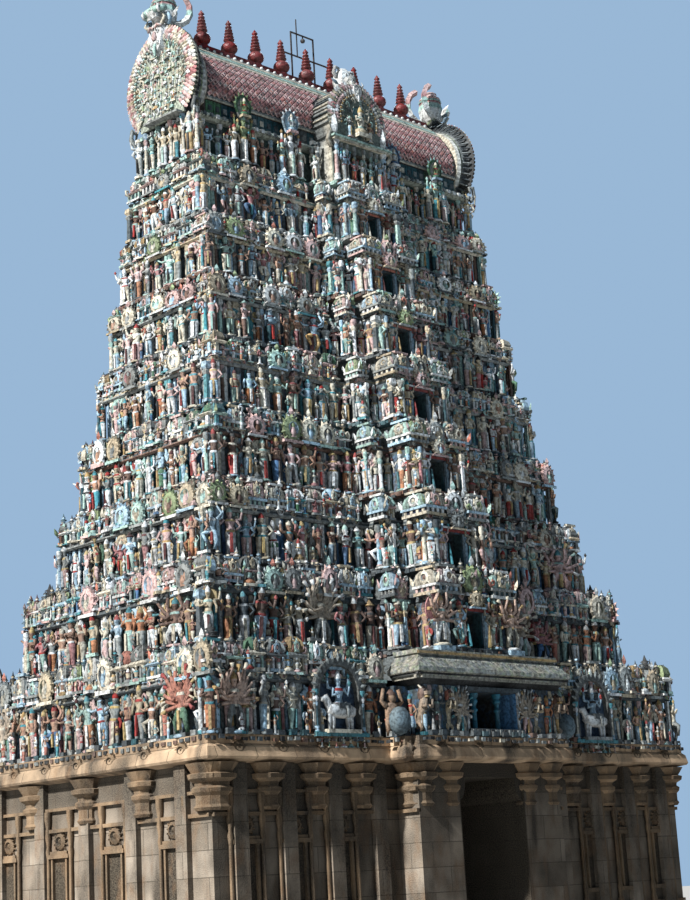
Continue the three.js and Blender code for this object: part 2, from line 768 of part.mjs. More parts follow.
function addBase() {
  for (const [side, turn] of [["left", 0], ["right", Math.PI]]) {
    const flank = new THREE.Group();
    flank.rotation.z = turn;
    tower.add(flank);
    addPiece(flank, `plinth_${side}`, plinthFlank(), "granite");
    addPiece(flank, `granite_wall_${side}`, graniteFlank(), "granite");
  }
  addPiece(tower, "passage_ceiling", passageCeiling(), "granite");
  addPiece(tower, "granite_cornice", graniteCornice(), "corniceStone");
}

function addBalcony(storey) {
  for (const [face, turn] of [["front", 0], ["back", Math.PI]]) {
    const porch = new THREE.Group();
    porch.rotation.z = turn;
    storey.add(porch);
    addPiece(porch, `canopy_${face}`, balconyCanopy(), "canopyPaint");
    for (const [side, sign] of [["left", -1], ["right", 1]]) {
      const pillar = turnedPillar(balcony.pillarRadius, balcony.height - 2 * seam);
      const mesh = addPiece(porch, `balcony_${face}_pillar_${side}`, pillar, "pillarPaint");
      mesh.position.set(sign * balcony.pillarX * unit, -balcony.pillarY * unit, seam * unit);
    }
  }
}

function addStoreys() {
  for (let k = 1; k <= storeyCount; k += 1) {
    const storey = groupAt(ledgeLevel(k));
    if (k > 1) addPiece(storey, `storey_${k}_floor`, ledgeSlab(k), "ledgePaint");
    addPiece(storey, `storey_${k}_walls`, storeyWalls(k), "wallPaint");
    addPiece(storey, `storey_${k}_shrines`, storeyShrines(k), "shrinePaint");
    if (k === 1) addBalcony(storey);
  }
}

function addCrown() {
  const crown = groupAt(ledgeLevel(storeyCount + 1));
  addPiece(crown, "top_cornice", ledgeSlab(storeyCount + 1), "ledgePaint");
  addPiece(crown, "neck_walls", neckWalls(), "wallPaint");
  addPiece(crown, "neck_cornice", neckCornice(0), "ledgePaint");
  addPiece(crown, "barrel_roof", barrelRoof(), "roofTile");
  for (const [side, turn] of [["right", 0], ["left", Math.PI]]) {
    addPiece(crown, `gable_${side}`, endGable(), "gablePlaster").rotation.z = turn;
  }
  for (const [face, turn] of [["front", 0], ["back", Math.PI]]) {
    addPiece(crown, `dormer_${face}`, bayDormer(), "gablePlaster").rotation.z = turn;
  }
  addPiece(crown, "ridge_beam", ridgeBeam(), "maroonPaint");
  addPiece(crown, "iron_frame", ironFrame(), "iron");
  for (let index = 0; index < finial.count; index += 1) {
    const mesh = addPiece(crown, `finial_${index + 1}`, potFinial(), "maroonPaint");
    mesh.position.x = (index - (finial.count - 1) / 2) * finial.spacing * unit;
    mesh.position.z = (roof.top + ridge.height + seam) * unit;
  }
}

addBase();
addStoreys();
addCrown();

export default tower;
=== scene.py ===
import math
import random

import bpy
import numpy as np
from mathutils import Matrix, Vector


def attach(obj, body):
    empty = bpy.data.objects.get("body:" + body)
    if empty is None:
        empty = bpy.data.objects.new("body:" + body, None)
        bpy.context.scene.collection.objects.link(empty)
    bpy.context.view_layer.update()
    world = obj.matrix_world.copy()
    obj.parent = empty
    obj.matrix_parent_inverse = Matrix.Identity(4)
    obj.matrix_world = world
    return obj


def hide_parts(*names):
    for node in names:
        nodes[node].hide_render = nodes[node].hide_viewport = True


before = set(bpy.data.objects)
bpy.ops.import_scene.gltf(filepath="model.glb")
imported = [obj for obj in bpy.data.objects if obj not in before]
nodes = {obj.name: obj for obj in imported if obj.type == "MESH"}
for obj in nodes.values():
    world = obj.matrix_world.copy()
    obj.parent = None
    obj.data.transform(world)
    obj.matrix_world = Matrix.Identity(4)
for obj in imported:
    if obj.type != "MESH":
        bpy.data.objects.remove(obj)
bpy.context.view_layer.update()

# Sizes are metres of the real tower, ground at zero; the model is half of that
modelScale = 0.5
counted = {"triangles": 0}

# Paints on the stucco as they look in plain daylight
paint = {
    "white": (0.92, 0.93, 0.92), "cream": (0.85, 0.82, 0.74), "sand": (0.76, 0.70, 0.59),
    "pink": (0.83, 0.70, 0.68), "rose": (0.70, 0.48, 0.48), "coral": (0.76, 0.47, 0.39),
    "tan": (0.70, 0.55, 0.46), "brown": (0.43, 0.31, 0.25), "orange": (0.76, 0.50, 0.33),
    "ochre": (0.75, 0.62, 0.41),
    "gold": (0.76, 0.66, 0.44), "red": (0.64, 0.18, 0.16), "maroon": (0.32, 0.08, 0.09),
    "sky": (0.67, 0.79, 0.86), "blue": (0.27, 0.45, 0.62), "navy": (0.12, 0.16, 0.27),
    "turquoise": (0.29, 0.59, 0.63), "teal": (0.13, 0.32, 0.36), "mint": (0.66, 0.79, 0.75),
    "green": (0.28, 0.46, 0.34), "leaf": (0.59, 0.66, 0.48), "olive": (0.36, 0.37, 0.26),
    "grey": (0.57, 0.59, 0.58), "slate": (0.28, 0.32, 0.34), "dark": (0.09, 0.10, 0.11),
}


# A colour is the name of a paint, or red, green and blue
def asColour(colour):
    return paint[colour] if isinstance(colour, str) else colour


def linear(colour):
    channels = asColour(colour)
    return tuple(((c + 0.055) / 1.055) ** 2.4 if c > 0.04045 else c / 12.92 for c in channels) + (1.0,)


def tinted(rng, colour, spread=0.1):
    level = 1 + rng.uniform(-spread, spread)
    return tuple(min(1.0, channel * level) for channel in asColour(colour))


def seededFor(*words):
    return random.Random("-".join(str(word) for word in words))


# Plan and heights of the storeys, as in the solids
batter = {
    "firstStorey": 4.25, "storeyLoss": 0.157, "baseHeight": 12.4, "storeys": 8, "slab": 0.3, "topExtra": 0.2,
    "lengthTop": 9.8, "lengthFlare": 6.42, "lengthDecay": 0.31,
    "widthFoot": 6.95, "widthStep": 0.53, "widthFlare": 2.43, "widthDecay": 0.9,
    "bayFoot": 10.5, "bayStep": 0.87, "bayTop": 2.0, "bayFlare": 2.9, "bayDecay": 1.3,
    "bayLedge": 0.45, "shoulder": 1.25, "shoulderLoss": 0.05, "shoulderShare": 0.4,
    "shelf": 0.7, "shelfLoss": 0.03, "wallShare": 0.55, "eaveHeight": 0.3,
    "doorway": 1.35, "doorwayLoss": 0.09, "balconyHalf": 1.8,
}


def storeyHeight(k):
    extra = batter["topExtra"] if k == batter["storeys"] else 0
    return batter["firstStorey"] - batter["storeyLoss"] * (k - 1) + extra


def ledgeLevel(k):
    return batter["baseHeight"] + sum(storeyHeight(below) for below in range(1, k))


def halfLength(k):
    return batter["lengthTop"] + batter["lengthFlare"] * math.exp(-batter["lengthDecay"] * (k - 1))


def halfWidth(k):
    flare = batter["widthFlare"] * math.exp(-batter["widthDecay"] * (k - 1))
    return batter["widthFoot"] - batter["widthStep"] * (k - 1) + flare


def bayFront(k):
    return batter["bayFoot"] - batter["bayStep"] * (k - 1)


def bayHalf(k):
    return batter["bayTop"] + batter["bayFlare"] * math.exp(-batter["bayDecay"] * (k - 1))


def shoulderHalf(k):
    return bayHalf(k) + batter["shoulder"] - batter["shoulderLoss"] * (k - 1)


def shoulderOut(k):
    return halfWidth(k) + batter["shoulderShare"] * (bayFront(k) + batter["bayLedge"] - halfWidth(k))


def shelfDepth(k):
    return batter["shelf"] - batter["shelfLoss"] * (k - 1)


def doorHalf(k):
    return batter["balconyHalf"] if k == 1 else (batter["doorway"] - batter["doorwayLoss"] * (k - 2)) / 2


def wallZone(k):
    return batter["wallShare"] * storeyHeight(k)


crownLevel = ledgeLevel(batter["storeys"] + 1)


def steppedPlan(halfX, halfY, steps):
    front = [(-halfX, -halfY)]
    y = -halfY
    for half, out in steps:
        front += [(-half, y), (-half, -out)]
        y = -out
    front += [(-px, py) for px, py in reversed(front)]
    return front + [(-px, -py) for px, py in front]


# Outline of a ledge, drawn in by inset all round; the first storey's eave stops short of the canopy
def ledgePlan(k, inset=0.0, eave=False):
    front = bayFront(k) + batter["bayLedge"]
    steps = [(shoulderHalf(k) - inset, shoulderOut(k) - inset), (bayHalf(k) - inset, front - inset)]
    if eave and k == 1:
        steps = [(5.56, 8.96), (5.5, 8.9)]
    return steppedPlan(halfLength(k) - inset, halfWidth(k) - inset, steps)


stepKinds = ["flank", "return", "shoulder", "return"]
edgeKinds = (stepKinds + ["bay"] + stepKinds[::-1] + ["end"]) * 2


def asTriple(size):
    return (size, size, size) if isinstance(size, (int, float)) else size


# One straight stretch of a plan's edge, walked with the outside on the right hand
class Run:
    def __init__(self, start, end, kind="flank"):
        self.start, self.kind = start, kind
        self.length = math.dist(start, end)
        self.ux = (end[0] - start[0]) / self.length
        self.uy = (end[1] - start[1]) / self.length

    # A place on the run: X of the stamp lies along it and its -Y faces out
    def spot(self, along, out, up, size=1.0, turn=0.0, lean=0.0):
        inX, inY = -self.uy, self.ux
        base = np.array(((self.ux, inX, 0), (self.uy, inY, 0), (0, 0, 1)))
        spin = np.array(Matrix.Rotation(turn, 3, "Z") @ Matrix.Rotation(lean, 3, "Y"))
        place = np.eye(4)
        place[:3, :3] = base @ spin @ np.diag(asTriple(size))
        x, y = self.start
        place[:3, 3] = (x + self.ux * along - inX * out, y + self.uy * along - inY * out, up)
        return place

    def spots(self, pitch, margin=0.0):
        room = self.length - 2 * margin
        count = max(1, round(room / pitch))
        return [margin + room * (index + 0.5) / count for index in range(count)]


def runsOf(plan, kinds=edgeKinds):
    return [Run(*ends) for ends in zip(plan, plan[1:] + plan[:1], kinds)]


# Runs along the front or back, along an end, and along the side of something that steps out
def frontRun(out, half, side):
    return Run((-half * side, -out * side), (half * side, -out * side))


def endRun(out, half, side):
    return Run((side * out, -side * half), (side * out, side * half))


def returnRun(half, near, far, side, turn):
    ends = [(turn * half * side, -near * side), (turn * half * side, -far * side)]
    return Run(*ends[::-turn])


def shifted(x=0.0, y=0.0, z=0.0, size=1.0, turn=0.0, lean=0.0):
    spin = Matrix.Rotation(turn, 4, "Z") @ Matrix.Rotation(lean, 4, "Y")
    place = np.array(spin) @ np.diag((*asTriple(size), 1.0))
    place[:3, 3] = (x, y, z)
    return place


# A carved shape: points, faces, the paint role of each face and whether it is rounded
class Shape:
    def __init__(self):
        self.points, self.faces, self.roles, self.rounded = [], [], [], []

    def put(self, points, faces, roles, rounded=False):
        base = len(self.points)
        self.points += [tuple(point) for point in points]
        self.faces += [tuple(base + index for index in face) for face in faces]
        self.roles += [roles] * len(faces) if isinstance(roles, str) else roles
        self.rounded += [rounded] * len(faces)
        return self

    # Level rings from the foot up: height, half across, half deep, shift across, shift deep
    def loft(self, rings, sides, roles, rounded=True, turn=0.5, caps=(False, True)):
        points = []
        for ring in rings:
            z, rx, ry, dx, dy = tuple(ring) + (0.0,) * (5 - len(ring))
            for index in range(sides):
                angle = 2 * math.pi * (index + turn) / sides
                points.append((dx + rx * math.cos(angle), dy + ry * math.sin(angle), z))
        return self.skin(points, len(rings), sides, roles, rounded, caps)

    # Walls through rings of points; a role for all of it, for each ring, or for each column in turn
    def skin(self, points, ringCount, sides, roles, rounded, caps=(True, True), columns=None):
        faces, names = [], []
        for ring in range(ringCount - 1):
            role = roles if isinstance(roles, str) else roles[ring]
            for index in range(sides):
                after = (index + 1) % sides
                low, high = ring * sides, (ring + 1) * sides
                faces.append((low + index, low + after, high + after, high + index))
                names.append(columns[index % len(columns)] if columns and role == "roof" else role)
        smooth = len(faces)
        if caps[0]:
            faces.append(tuple(reversed(range(sides))))
            names.append(roles if isinstance(roles, str) else roles[0])
        if caps[1]:
            faces.append(tuple((ringCount - 1) * sides + index for index in range(sides)))
            names.append(roles if isinstance(roles, str) else roles[-1])
        self.put(points, faces, names, rounded)
        for index in range(len(self.rounded) - len(faces) + smooth, len(self.rounded)):
            self.rounded[index] = False
        return self

    # A limb along a path, with a radius at each point
    def tube(self, path, radii, sides, role, caps=(False, True)):
        path = [Vector(point) for point in path]
        side = Vector((0, 1, 0))
        points = []
        for index, point in enumerate(path):
            ahead = path[min(index + 1, len(path) - 1)] - path[max(index - 1, 0)]
            ahead.normalize()
            side = side - ahead * side.dot(ahead)
            if side.length < 1e-3:
                side = ahead.orthogonal()
            side.normalize()
            other = ahead.cross(side)
            for step in range(sides):
                angle = 2 * math.pi * (step + 0.5) / sides
                points.append(point + (side * math.cos(angle) + other * math.sin(angle)) * radii[index])
        return self.skin(points, len(path), sides, role, True, caps)

    # Open names the sides that are left out
    def box(self, x0, x1, y0, y1, z0, z1, role, open=""):
        corners = [(x, y, z) for z in (z0, z1) for x, y in ((x0, y0), (x1, y0), (x1, y1), (x0, y1))]
        sides = {"front": (0, 1, 5, 4), "right": (1, 2, 6, 5), "back": (2, 3, 7, 6), "left": (3, 0, 4, 7),
                 "foot": (3, 2, 1, 0), "top": (4, 5, 6, 7)}
        return self.put(corners, [face for name, face in sides.items() if name not in open], role)

    # A flat panel cut to an outline of (across, up) points, listed anticlockwise as seen from the front
    def plate(self, outline, front, back, role, inset=0.0):
        count = len(outline)
        middle = np.mean(outline, axis=0)
        face = [tuple(np.array(point) * (1 - inset) + middle * inset) for point in outline]
        points = [(x, front, z) for x, z in face] + [(x, back, z) for x, z in outline]
        after = [(index + 1) % count for index in range(count)]
        sides = [(index, index + count, after[index] + count, after[index]) for index in range(count)]
        return self.put(points, [tuple(range(count))] + sides, role)

    # A raised band between two outlines with the same number of points, open behind
    def band(self, outer, inner, front, back, role):
        count = len(outer)
        edges = ((outer, back), (outer, front), (inner, front), (inner, back))
        points = [(x, y, z) for outline, y in edges for x, z in outline]
        faces = []
        for index in range(count - 1):
            for low in (0, count, 2 * count):
                high = low + count
                faces.append((low + index + 1, low + index, high + index, high + index + 1))
        return self.put(points, faces, role)

    # A moulding that runs round a plan: level, inset and role of the strip that starts there
    def moulding(self, planAt, rows):
        rings = [(z, planAt(inset)) for z, inset, _ in rows]
        count = len(rings[0][1])
        points = [(x, y, z) for z, plan in rings for x, y in plan]
        faces, names = [], []
        for ring, (_, _, role) in enumerate(rows):
            if role is None:
                continue
            low, high = ring * count, (ring + 1) % len(rows) * count
            for index in range(count):
                after = (index + 1) % count
                faces.append((low + index, low + after, high + after, high + index))
                names.append(role)
        return self.put(points, faces, names)

    def include(self, other, place):
        moved = np.array(other.points) @ place[:3, :3].T + place[:3, 3]
        flip = np.linalg.det(place[:3, :3]) < 0
        faces = [face[::-1] if flip else face for face in other.faces]
        self.put(moved, faces, other.roles)
        self.rounded[-len(faces):] = other.rounded
        return self


# A turned form; each row has its height, its radius and, where roles aren't given, the role above it
def turned(rows, sides, roles=None, caps=(False, False)):
    return Shape().loft([(row[0], row[1], row[1]) for row in rows], sides,
                        roles or [row[2] for row in rows[:-1]], caps=caps)


# Points of an arch, across and up, that starts and ends past the level of its middle by an angle
def archPoints(half, rise, middle, past, count):
    angles = np.linspace(-past, math.pi + past, count)
    return [(half * math.cos(angle), middle + rise * math.sin(angle)) for angle in angles]


def makeMesh(name, finish, slot, points, corners, sizes, shades, rounded):
    mesh = bpy.data.meshes.new(name)
    mesh.vertices.add(len(points))
    mesh.vertices.foreach_set("co", (points * modelScale).astype(np.float32).ravel())
    mesh.loops.add(len(corners))
    mesh.loops.foreach_set("vertex_index", corners.astype(np.int32))
    mesh.polygons.add(len(sizes))
    mesh.polygons.foreach_set("loop_start", np.concatenate([[0], np.cumsum(sizes)[:-1]]).astype(np.int32))
    mesh.polygons.foreach_set("use_smooth", rounded)
    mesh.update(calc_edges=True)
    colour = mesh.color_attributes.new("paint", "BYTE_COLOR", "CORNER")
    filled = np.ones((len(corners), 4), np.float32)
    filled[:, :3] = shades
    colour.data.foreach_set("color_srgb", filled.ravel())
    mesh.validate()
    piece = bpy.data.objects.new(name, mesh)
    bpy.context.scene.collection.objects.link(piece)
    mesh.materials.append(finishes[finish])
    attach(piece, "root")
    triangles = int((sizes - 2).sum())
    counted["triangles"] += triangles
    print(f"{name}: {triangles} triangles")
    return piece


# Many placed shapes that become one mesh
class Carving:
    def __init__(self):
        self.uses = {}

    def put(self, shape, place, colours):
        self.uses.setdefault(id(shape), (shape, []))[1].append((place, colours))

    def block(self, place, colour):
        self.put(block, place, {"block": colour})

    def build(self, name, finish, slot):
        points, corners, sizes, shades, rounded = [], [], [], [], []
        base = 0
        for shape, uses in self.uses.values():
            local = np.array(shape.points, float)
            places = np.array([place for place, _ in uses])
            world = np.einsum("mij,nj->mni", places[:, :3, :3], local) + places[:, None, :3, 3]
            counts = np.array([len(face) for face in shape.faces])
            order = np.array([index for face in shape.faces for index in face])
            starts = base + np.arange(len(uses))[:, None] * len(local)
            roles = sorted(set(shape.roles))
            picked = np.repeat([roles.index(role) for role in shape.roles], counts)
            table = np.array([[asColour(colours[role]) for role in roles] for _, colours in uses])
            points.append(world.reshape(-1, 3))
            corners.append((order[None, :] + starts).ravel())
            sizes.append(np.tile(counts, len(uses)))
            shades.append(table[:, picked].reshape(-1, 3))
            rounded.append(np.tile(shape.rounded, len(uses)))
            base += len(uses) * len(local)
        lists = (points, corners, sizes, shades, rounded)
        return makeMesh(name, finish, slot, *(np.concatenate(values) for values in lists))


# A socket of a material; sums and products of wires add their Math nodes
class Wire:
    def __init__(self, finish, socket):
        self.finish, self.socket = finish, socket

    def __add__(self, other):
        return self.finish.math("ADD", self, other)

    def __radd__(self, other):
        return self.finish.math("ADD", other, self)

    def __sub__(self, other):
        return self.finish.math("SUBTRACT", self, other)

    def __rsub__(self, other):
        return self.finish.math("SUBTRACT", other, self)

    def __mul__(self, other):
        return self.finish.math("MULTIPLY", self, other)

    def __rmul__(self, other):
        return self.finish.math("MULTIPLY", other, self)


class Finish:
    def __init__(self, name, roughness=0.8, metallic=0.0):
        self.material = bpy.data.materials.new(name)
        self.material.use_nodes = True
        self.tree = self.material.node_tree
        self.shader = self.tree.nodes["Principled BSDF"]
        self.shader.inputs["Roughness"].default_value = roughness
        self.shader.inputs["Metallic"].default_value = metallic
        self.shader.inputs["Specular IOR Level"].default_value = 0.3

    def add(self, kind, settings=None, sockets=None, out=0):
        node = self.tree.nodes.new(kind)
        for key, value in (settings or {}).items():
            if key == "stops":
                self.setStops(node.color_ramp, value)
            else:
                setattr(node, key, value)
        for key, value in (sockets or {}).items():
            self.feed(node.inputs[key], value)
        return Wire(self, node.outputs[out])

    # Ramp stops are a position with a grey level or a colour
    def setStops(self, ramp, stops):
        while len(ramp.elements) < len(stops):
            ramp.elements.new(0.5)
        for element, (position, level) in zip(ramp.elements, stops):
            element.position = position
            element.color = (level, level, level, 1) if isinstance(level, (int, float)) else linear(level)

    def feed(self, socket, value):
        if isinstance(value, Wire):
            self.tree.links.new(value.socket, socket)
        else:
            socket.default_value = value

    def colour(self, base):
        self.feed(self.shader.inputs["Base Color"], base)

    def bump(self, height, strength, distance):
        sockets = {"Height": height, "Strength": strength, "Distance": distance}
        self.feed(self.shader.inputs["Normal"], self.add("ShaderNodeBump", None, sockets))

    def math(self, operation, *values):
        return self.add("ShaderNodeMath", {"operation": operation}, dict(enumerate(values)))

    def place(self):
        return self.add("ShaderNodeTexCoord", out="Object")

    def axis(self, index):
        return self.add("ShaderNodeSeparateXYZ", None, {0: self.place()}, out=index)

    # How far the surface faces along an axis
    def facing(self, index):
        normal = self.add("ShaderNodeNewGeometry", out="Normal")
        return self.add("ShaderNodeSeparateXYZ", None, {0: normal}, out=index)

    # 1 on the long sides of the tower, front and back
    def facingLong(self):
        return self.math("ABSOLUTE", self.facing(1))

    def facePaint(self):
        settings = {"attribute_name": "paint", "attribute_type": "GEOMETRY"}
        return self.add("ShaderNodeAttribute", settings, out="Color")

    def ramp(self, value, *stops):
        return self.add("ShaderNodeValToRGB", {"stops": stops}, {0: value})

    # 0 below an edge and 1 above it
    def step(self, value):
        return self.ramp(value * 40, (0, 0), (1, 1))

    def noise(self, scale, detail=3.0, stretch=(1, 1, 1), low=0.35, high=0.65):
        mapped = self.add("ShaderNodeMapping", None, {"Vector": self.place(), "Scale": stretch})
        noise = self.add("ShaderNodeTexNoise", None, {"Vector": mapped, "Scale": scale, "Detail": detail})
        return self.ramp(noise, (low, 0), (high, 1))

    def mix(self, factor, first, second, blend="MIX"):
        first, second = (value if isinstance(value, Wire) else linear(value) for value in (first, second))
        settings = {"data_type": "RGBA", "blend_type": blend}
        return self.add("ShaderNodeMix", settings, {0: factor, 6: first, 7: second}, out=2)

    def times(self, first, second):
        return self.mix(1.0, first, second, "MULTIPLY")


# Limewash and enamel on stucco: faded, streaked by rain, dusty on its upper sides and pitted; painted shade
# darkens its hollows, it grows darker towards the foot of the tower, and the long sides, which the sun only
# grazes, get a cool tint of painted sky shade
weatherAndShade = {
    "fade": 0.18, "chalk": (0.72, 0.72, 0.71), "streak": 0.5, "streakPaint": (0.25, 0.25, 0.25),
    "soot": 0.6, "dust": (0.20, 0.21, 0.22), "pitting": 0.66, "pitScale": 13.0,
    "pitShade": (0.52, 0.51, 0.50), "grain": 0.3, "grainShade": (0.70, 0.70, 0.70), "hollow": 0.5,
    "footDarkening": 0.8, "darkeningFoot": 12.4, "darkeningHead": 32.0, "shadeSideTint": (0.91, 0.955, 1.0),
}


def weathered(finish, base, soot=weatherAndShade["soot"]):
    base = finish.mix(finish.noise(0.9, 4) * weatherAndShade["fade"], base, weatherAndShade["chalk"])
    streaks = finish.noise(5.0, 5, stretch=(1, 1, 0.12), low=0.5, high=0.72)
    base = finish.mix(streaks * weatherAndShade["streak"], base, weatherAndShade["streakPaint"])
    tops = finish.ramp(finish.facing(2), (0.35, 0), (0.85, 1))
    base = finish.mix(tops * finish.noise(3.5, 3, low=0.3, high=0.6) * soot, base, weatherAndShade["dust"])
    grain = finish.noise(28.0, 3)
    pits = finish.noise(weatherAndShade["pitScale"], 3, low=0.46, high=0.62)
    base = finish.mix(pits * weatherAndShade["pitting"], base, finish.times(base, weatherAndShade["pitShade"]))
    base = finish.mix(grain * weatherAndShade["grain"], base, finish.times(base, weatherAndShade["grainShade"]))
    # Painted shade: the hollows and creases, where shade falls, are darkened by the surface's Pointiness
    bend = finish.add("ShaderNodeNewGeometry", out="Pointiness")
    base = finish.times(base, finish.ramp(bend, (0.42, weatherAndShade["hollow"]), (0.54, 1.0)))
    # Darker towards the foot of the tower, up to full brightness at the head height
    rise = (weatherAndShade["darkeningHead"] - weatherAndShade["darkeningFoot"]) * modelScale
    height = (finish.axis(2) - weatherAndShade["darkeningFoot"] * modelScale) * (1 / rise)
    base = finish.times(base, finish.ramp(height, (0, weatherAndShade["footDarkening"]), (1, 1.0)))
    # Painted shade: a cool tint of sky shade on the long sides, which face away from the sun
    finish.colour(finish.times(base, finish.ramp(finish.facingLong(), (0.35, 1.0), (0.85, weatherAndShade["shadeSideTint"]))))
    finish.bump(grain - 0.8 * pits, 0.35, 0.012)
    return finish.material


def patched(finish, names):
    base = names[0]
    for index, name in enumerate(names[1:]):
        patch = finish.noise(3.0 + 2.3 * index, 4, low=0.5, high=0.62)
        base = finish.mix(patch * 0.5, base, name)
    return base


# A list of paints shows as patches, and with no paint given each face shows its own
def paintedStucco(name, colour=None, roughness=0.78, soot=weatherAndShade["soot"]):
    finish = Finish(name, roughness)
    base = patched(finish, colour) if isinstance(colour, list) else colour
    return weathered(finish, base or finish.facePaint(), soot)


# Stone of the canopy: patched on its slope and lip, with painted shade where it turns under
canopy = {"paints": ["grey", "sand", "slate", "leaf", "cream"], "under": 2.6, "shadow": "dark"}


def canopyFinish():
    finish = Finish("weathered canopy", 0.85)
    # Painted shade: dark below the level where the canopy turns under
    lit = finish.step(finish.axis(2) - (ledgeLevel(1) + canopy["under"]) * modelScale)
    return weathered(finish, finish.mix(lit, canopy["shadow"], patched(finish, canopy["paints"])))


# Granite in courses with pale, rusty and black stains; painted shade darkens the long sides and makes the
# passage near black, and soot with painted shade darkens it above a height under the cornice; with no course
# it is carved and shows the shade of each face
stone = {
    "blockWidth": 1.1, "blockShade": (0.58, 0.56, 0.54, 1), "joint": 0.012,
    "jointShade": (0.24, 0.24, 0.24, 1), "pale": 1.12, "dull": 0.68,
    "stain": (0.17, 0.15, 0.14), "rust": (0.45, 0.33, 0.22), "rusting": 0.5,
    "soot": (0.13, 0.12, 0.11), "sootAndShading": 0.72, "passageHalf": 2.22, "passageShade": (0.11, 0.10, 0.09),
    "passageShading": 0.92, "speckle": (0.78, 0.72, 0.62), "speckling": 0.17,
}


def graniteFinish(name, colour, course, stain, longSideShade, sootAndShadeHeight=None):
    finish = Finish(name, 0.88)
    if course:
        level = finish.axis(0) + finish.axis(1)
        flat = finish.add("ShaderNodeCombineXYZ", None, {0: level, 1: finish.axis(2)})
        blocks = finish.add("ShaderNodeTexBrick", None, {
            "Vector": flat, "Scale": 1.0, "Mortar Size": stone["joint"], "Mortar Smooth": 0.4,
            "Brick Width": stone["blockWidth"], "Row Height": course, "Color1": (1, 1, 1, 1),
            "Color2": stone["blockShade"], "Mortar": stone["jointShade"],
        })
    else:
        blocks = finish.facePaint()
    pale, dull = (tuple(c * stone[level] for c in colour) for level in ("pale", "dull"))
    base = finish.times(finish.mix(finish.noise(1.1, 5), pale, dull), blocks)
    stains = finish.noise(1.8, 6, stretch=(1, 1, 0.25), low=0.48, high=0.66)
    base = finish.mix(stains * stain, base, stone["stain"])
    rust = finish.noise(3.1, 4, stretch=(1, 1, 0.5), low=0.5, high=0.7)
    base = finish.mix(rust * stone["rusting"], base, stone["rust"])
    if sootAndShadeHeight:
        # Soot and painted shade: darker above a height just under the cornice
        sootyAndShaded = finish.ramp((finish.axis(2) - sootAndShadeHeight * modelScale) * 1.6, (0, 0), (1, 1))
        base = finish.mix(sootyAndShaded * stone["sootAndShading"], base, stone["soot"])
        # Painted shade: near black inside the passage
        outside = finish.step(finish.math("ABSOLUTE", finish.axis(0)) - stone["passageHalf"] * modelScale)
        base = finish.mix((1 - outside) * stone["passageShading"], base, stone["passageShade"])
    speckle = finish.noise(40.0, 2)
    base = finish.mix(speckle * stone["speckling"], base, stone["speckle"])
    # Painted shade: the long sides, which the sun only grazes, are darkened to the long-side level
    finish.colour(finish.times(base, finish.ramp(finish.facingLong(), (0.55, 1.0), (0.85, longSideShade))))
    finish.bump(speckle + 2.0 * blocks, 0.35, 0.02)
    return finish.material


# Horseshoe ends of the roof: radius, heights above the top cornice, and how far out they stand
gableArch = {"radius": 2.9, "centre": 4.63, "apex": 7.7, "inner": 9.28, "outer": 10.35}
dormerArch = {"radius": 1.9, "centre": 3.886, "apex": 5.9, "inner": 2.0, "outer": 3.75}


# An arched hood painted in bands by how far out they stand, ribbed round its centre, its head white;
# outward is the axis that it looks along and across the one beside it
def archFinish(name, arch, outward, across, stops, ribs, headStops):
    finish = Finish(name, 0.75)
    side = finish.axis(across)
    up = finish.axis(2) - (crownLevel + arch["centre"]) * modelScale
    depth = (arch["outer"] - arch["inner"]) * modelScale
    out = finish.math("ABSOLUTE", finish.axis(outward)) - arch["inner"] * modelScale
    bands = finish.ramp(out * (1 / depth), *stops)
    ribbing = finish.math("SINE", finish.math("ARCTAN2", up, side) * ribs)
    ribbed = finish.mix(0.6, bands, finish.times(bands, finish.ramp(ribbing, (0.0, 0.5), (0.5, 1.0))))
    above = finish.axis(2) - (crownLevel + arch["apex"] + 0.12) * modelScale
    return weathered(finish, finish.mix(finish.step(above), ribbed, finish.ramp(above, *headStops)), 0.4)


def ironFinish():
    finish = Finish("painted iron", 0.55, 0.7)
    finish.colour(finish.mix(finish.noise(14.0, 4), (0.34, 0.36, 0.37), (0.30, 0.20, 0.15)))
    return finish.material


gableStops = [(0.0, "cream"), (0.26, "white"), (0.34, "leaf"), (0.4, "grey"), (0.5, "slate"), (0.86, "dark"),
              (0.96, (0.72, 0.76, 0.69))]
dormerStops = [(0.0, "slate"), (0.5, "grey"), (0.9, "cream"), (0.97, (0.42, 0.47, 0.43))]
headStops = [(0.0, "white"), (0.34, "white"), (0.4, "mint"), (0.52, "mint"), (0.58, "rose"), (0.8, "pink")]

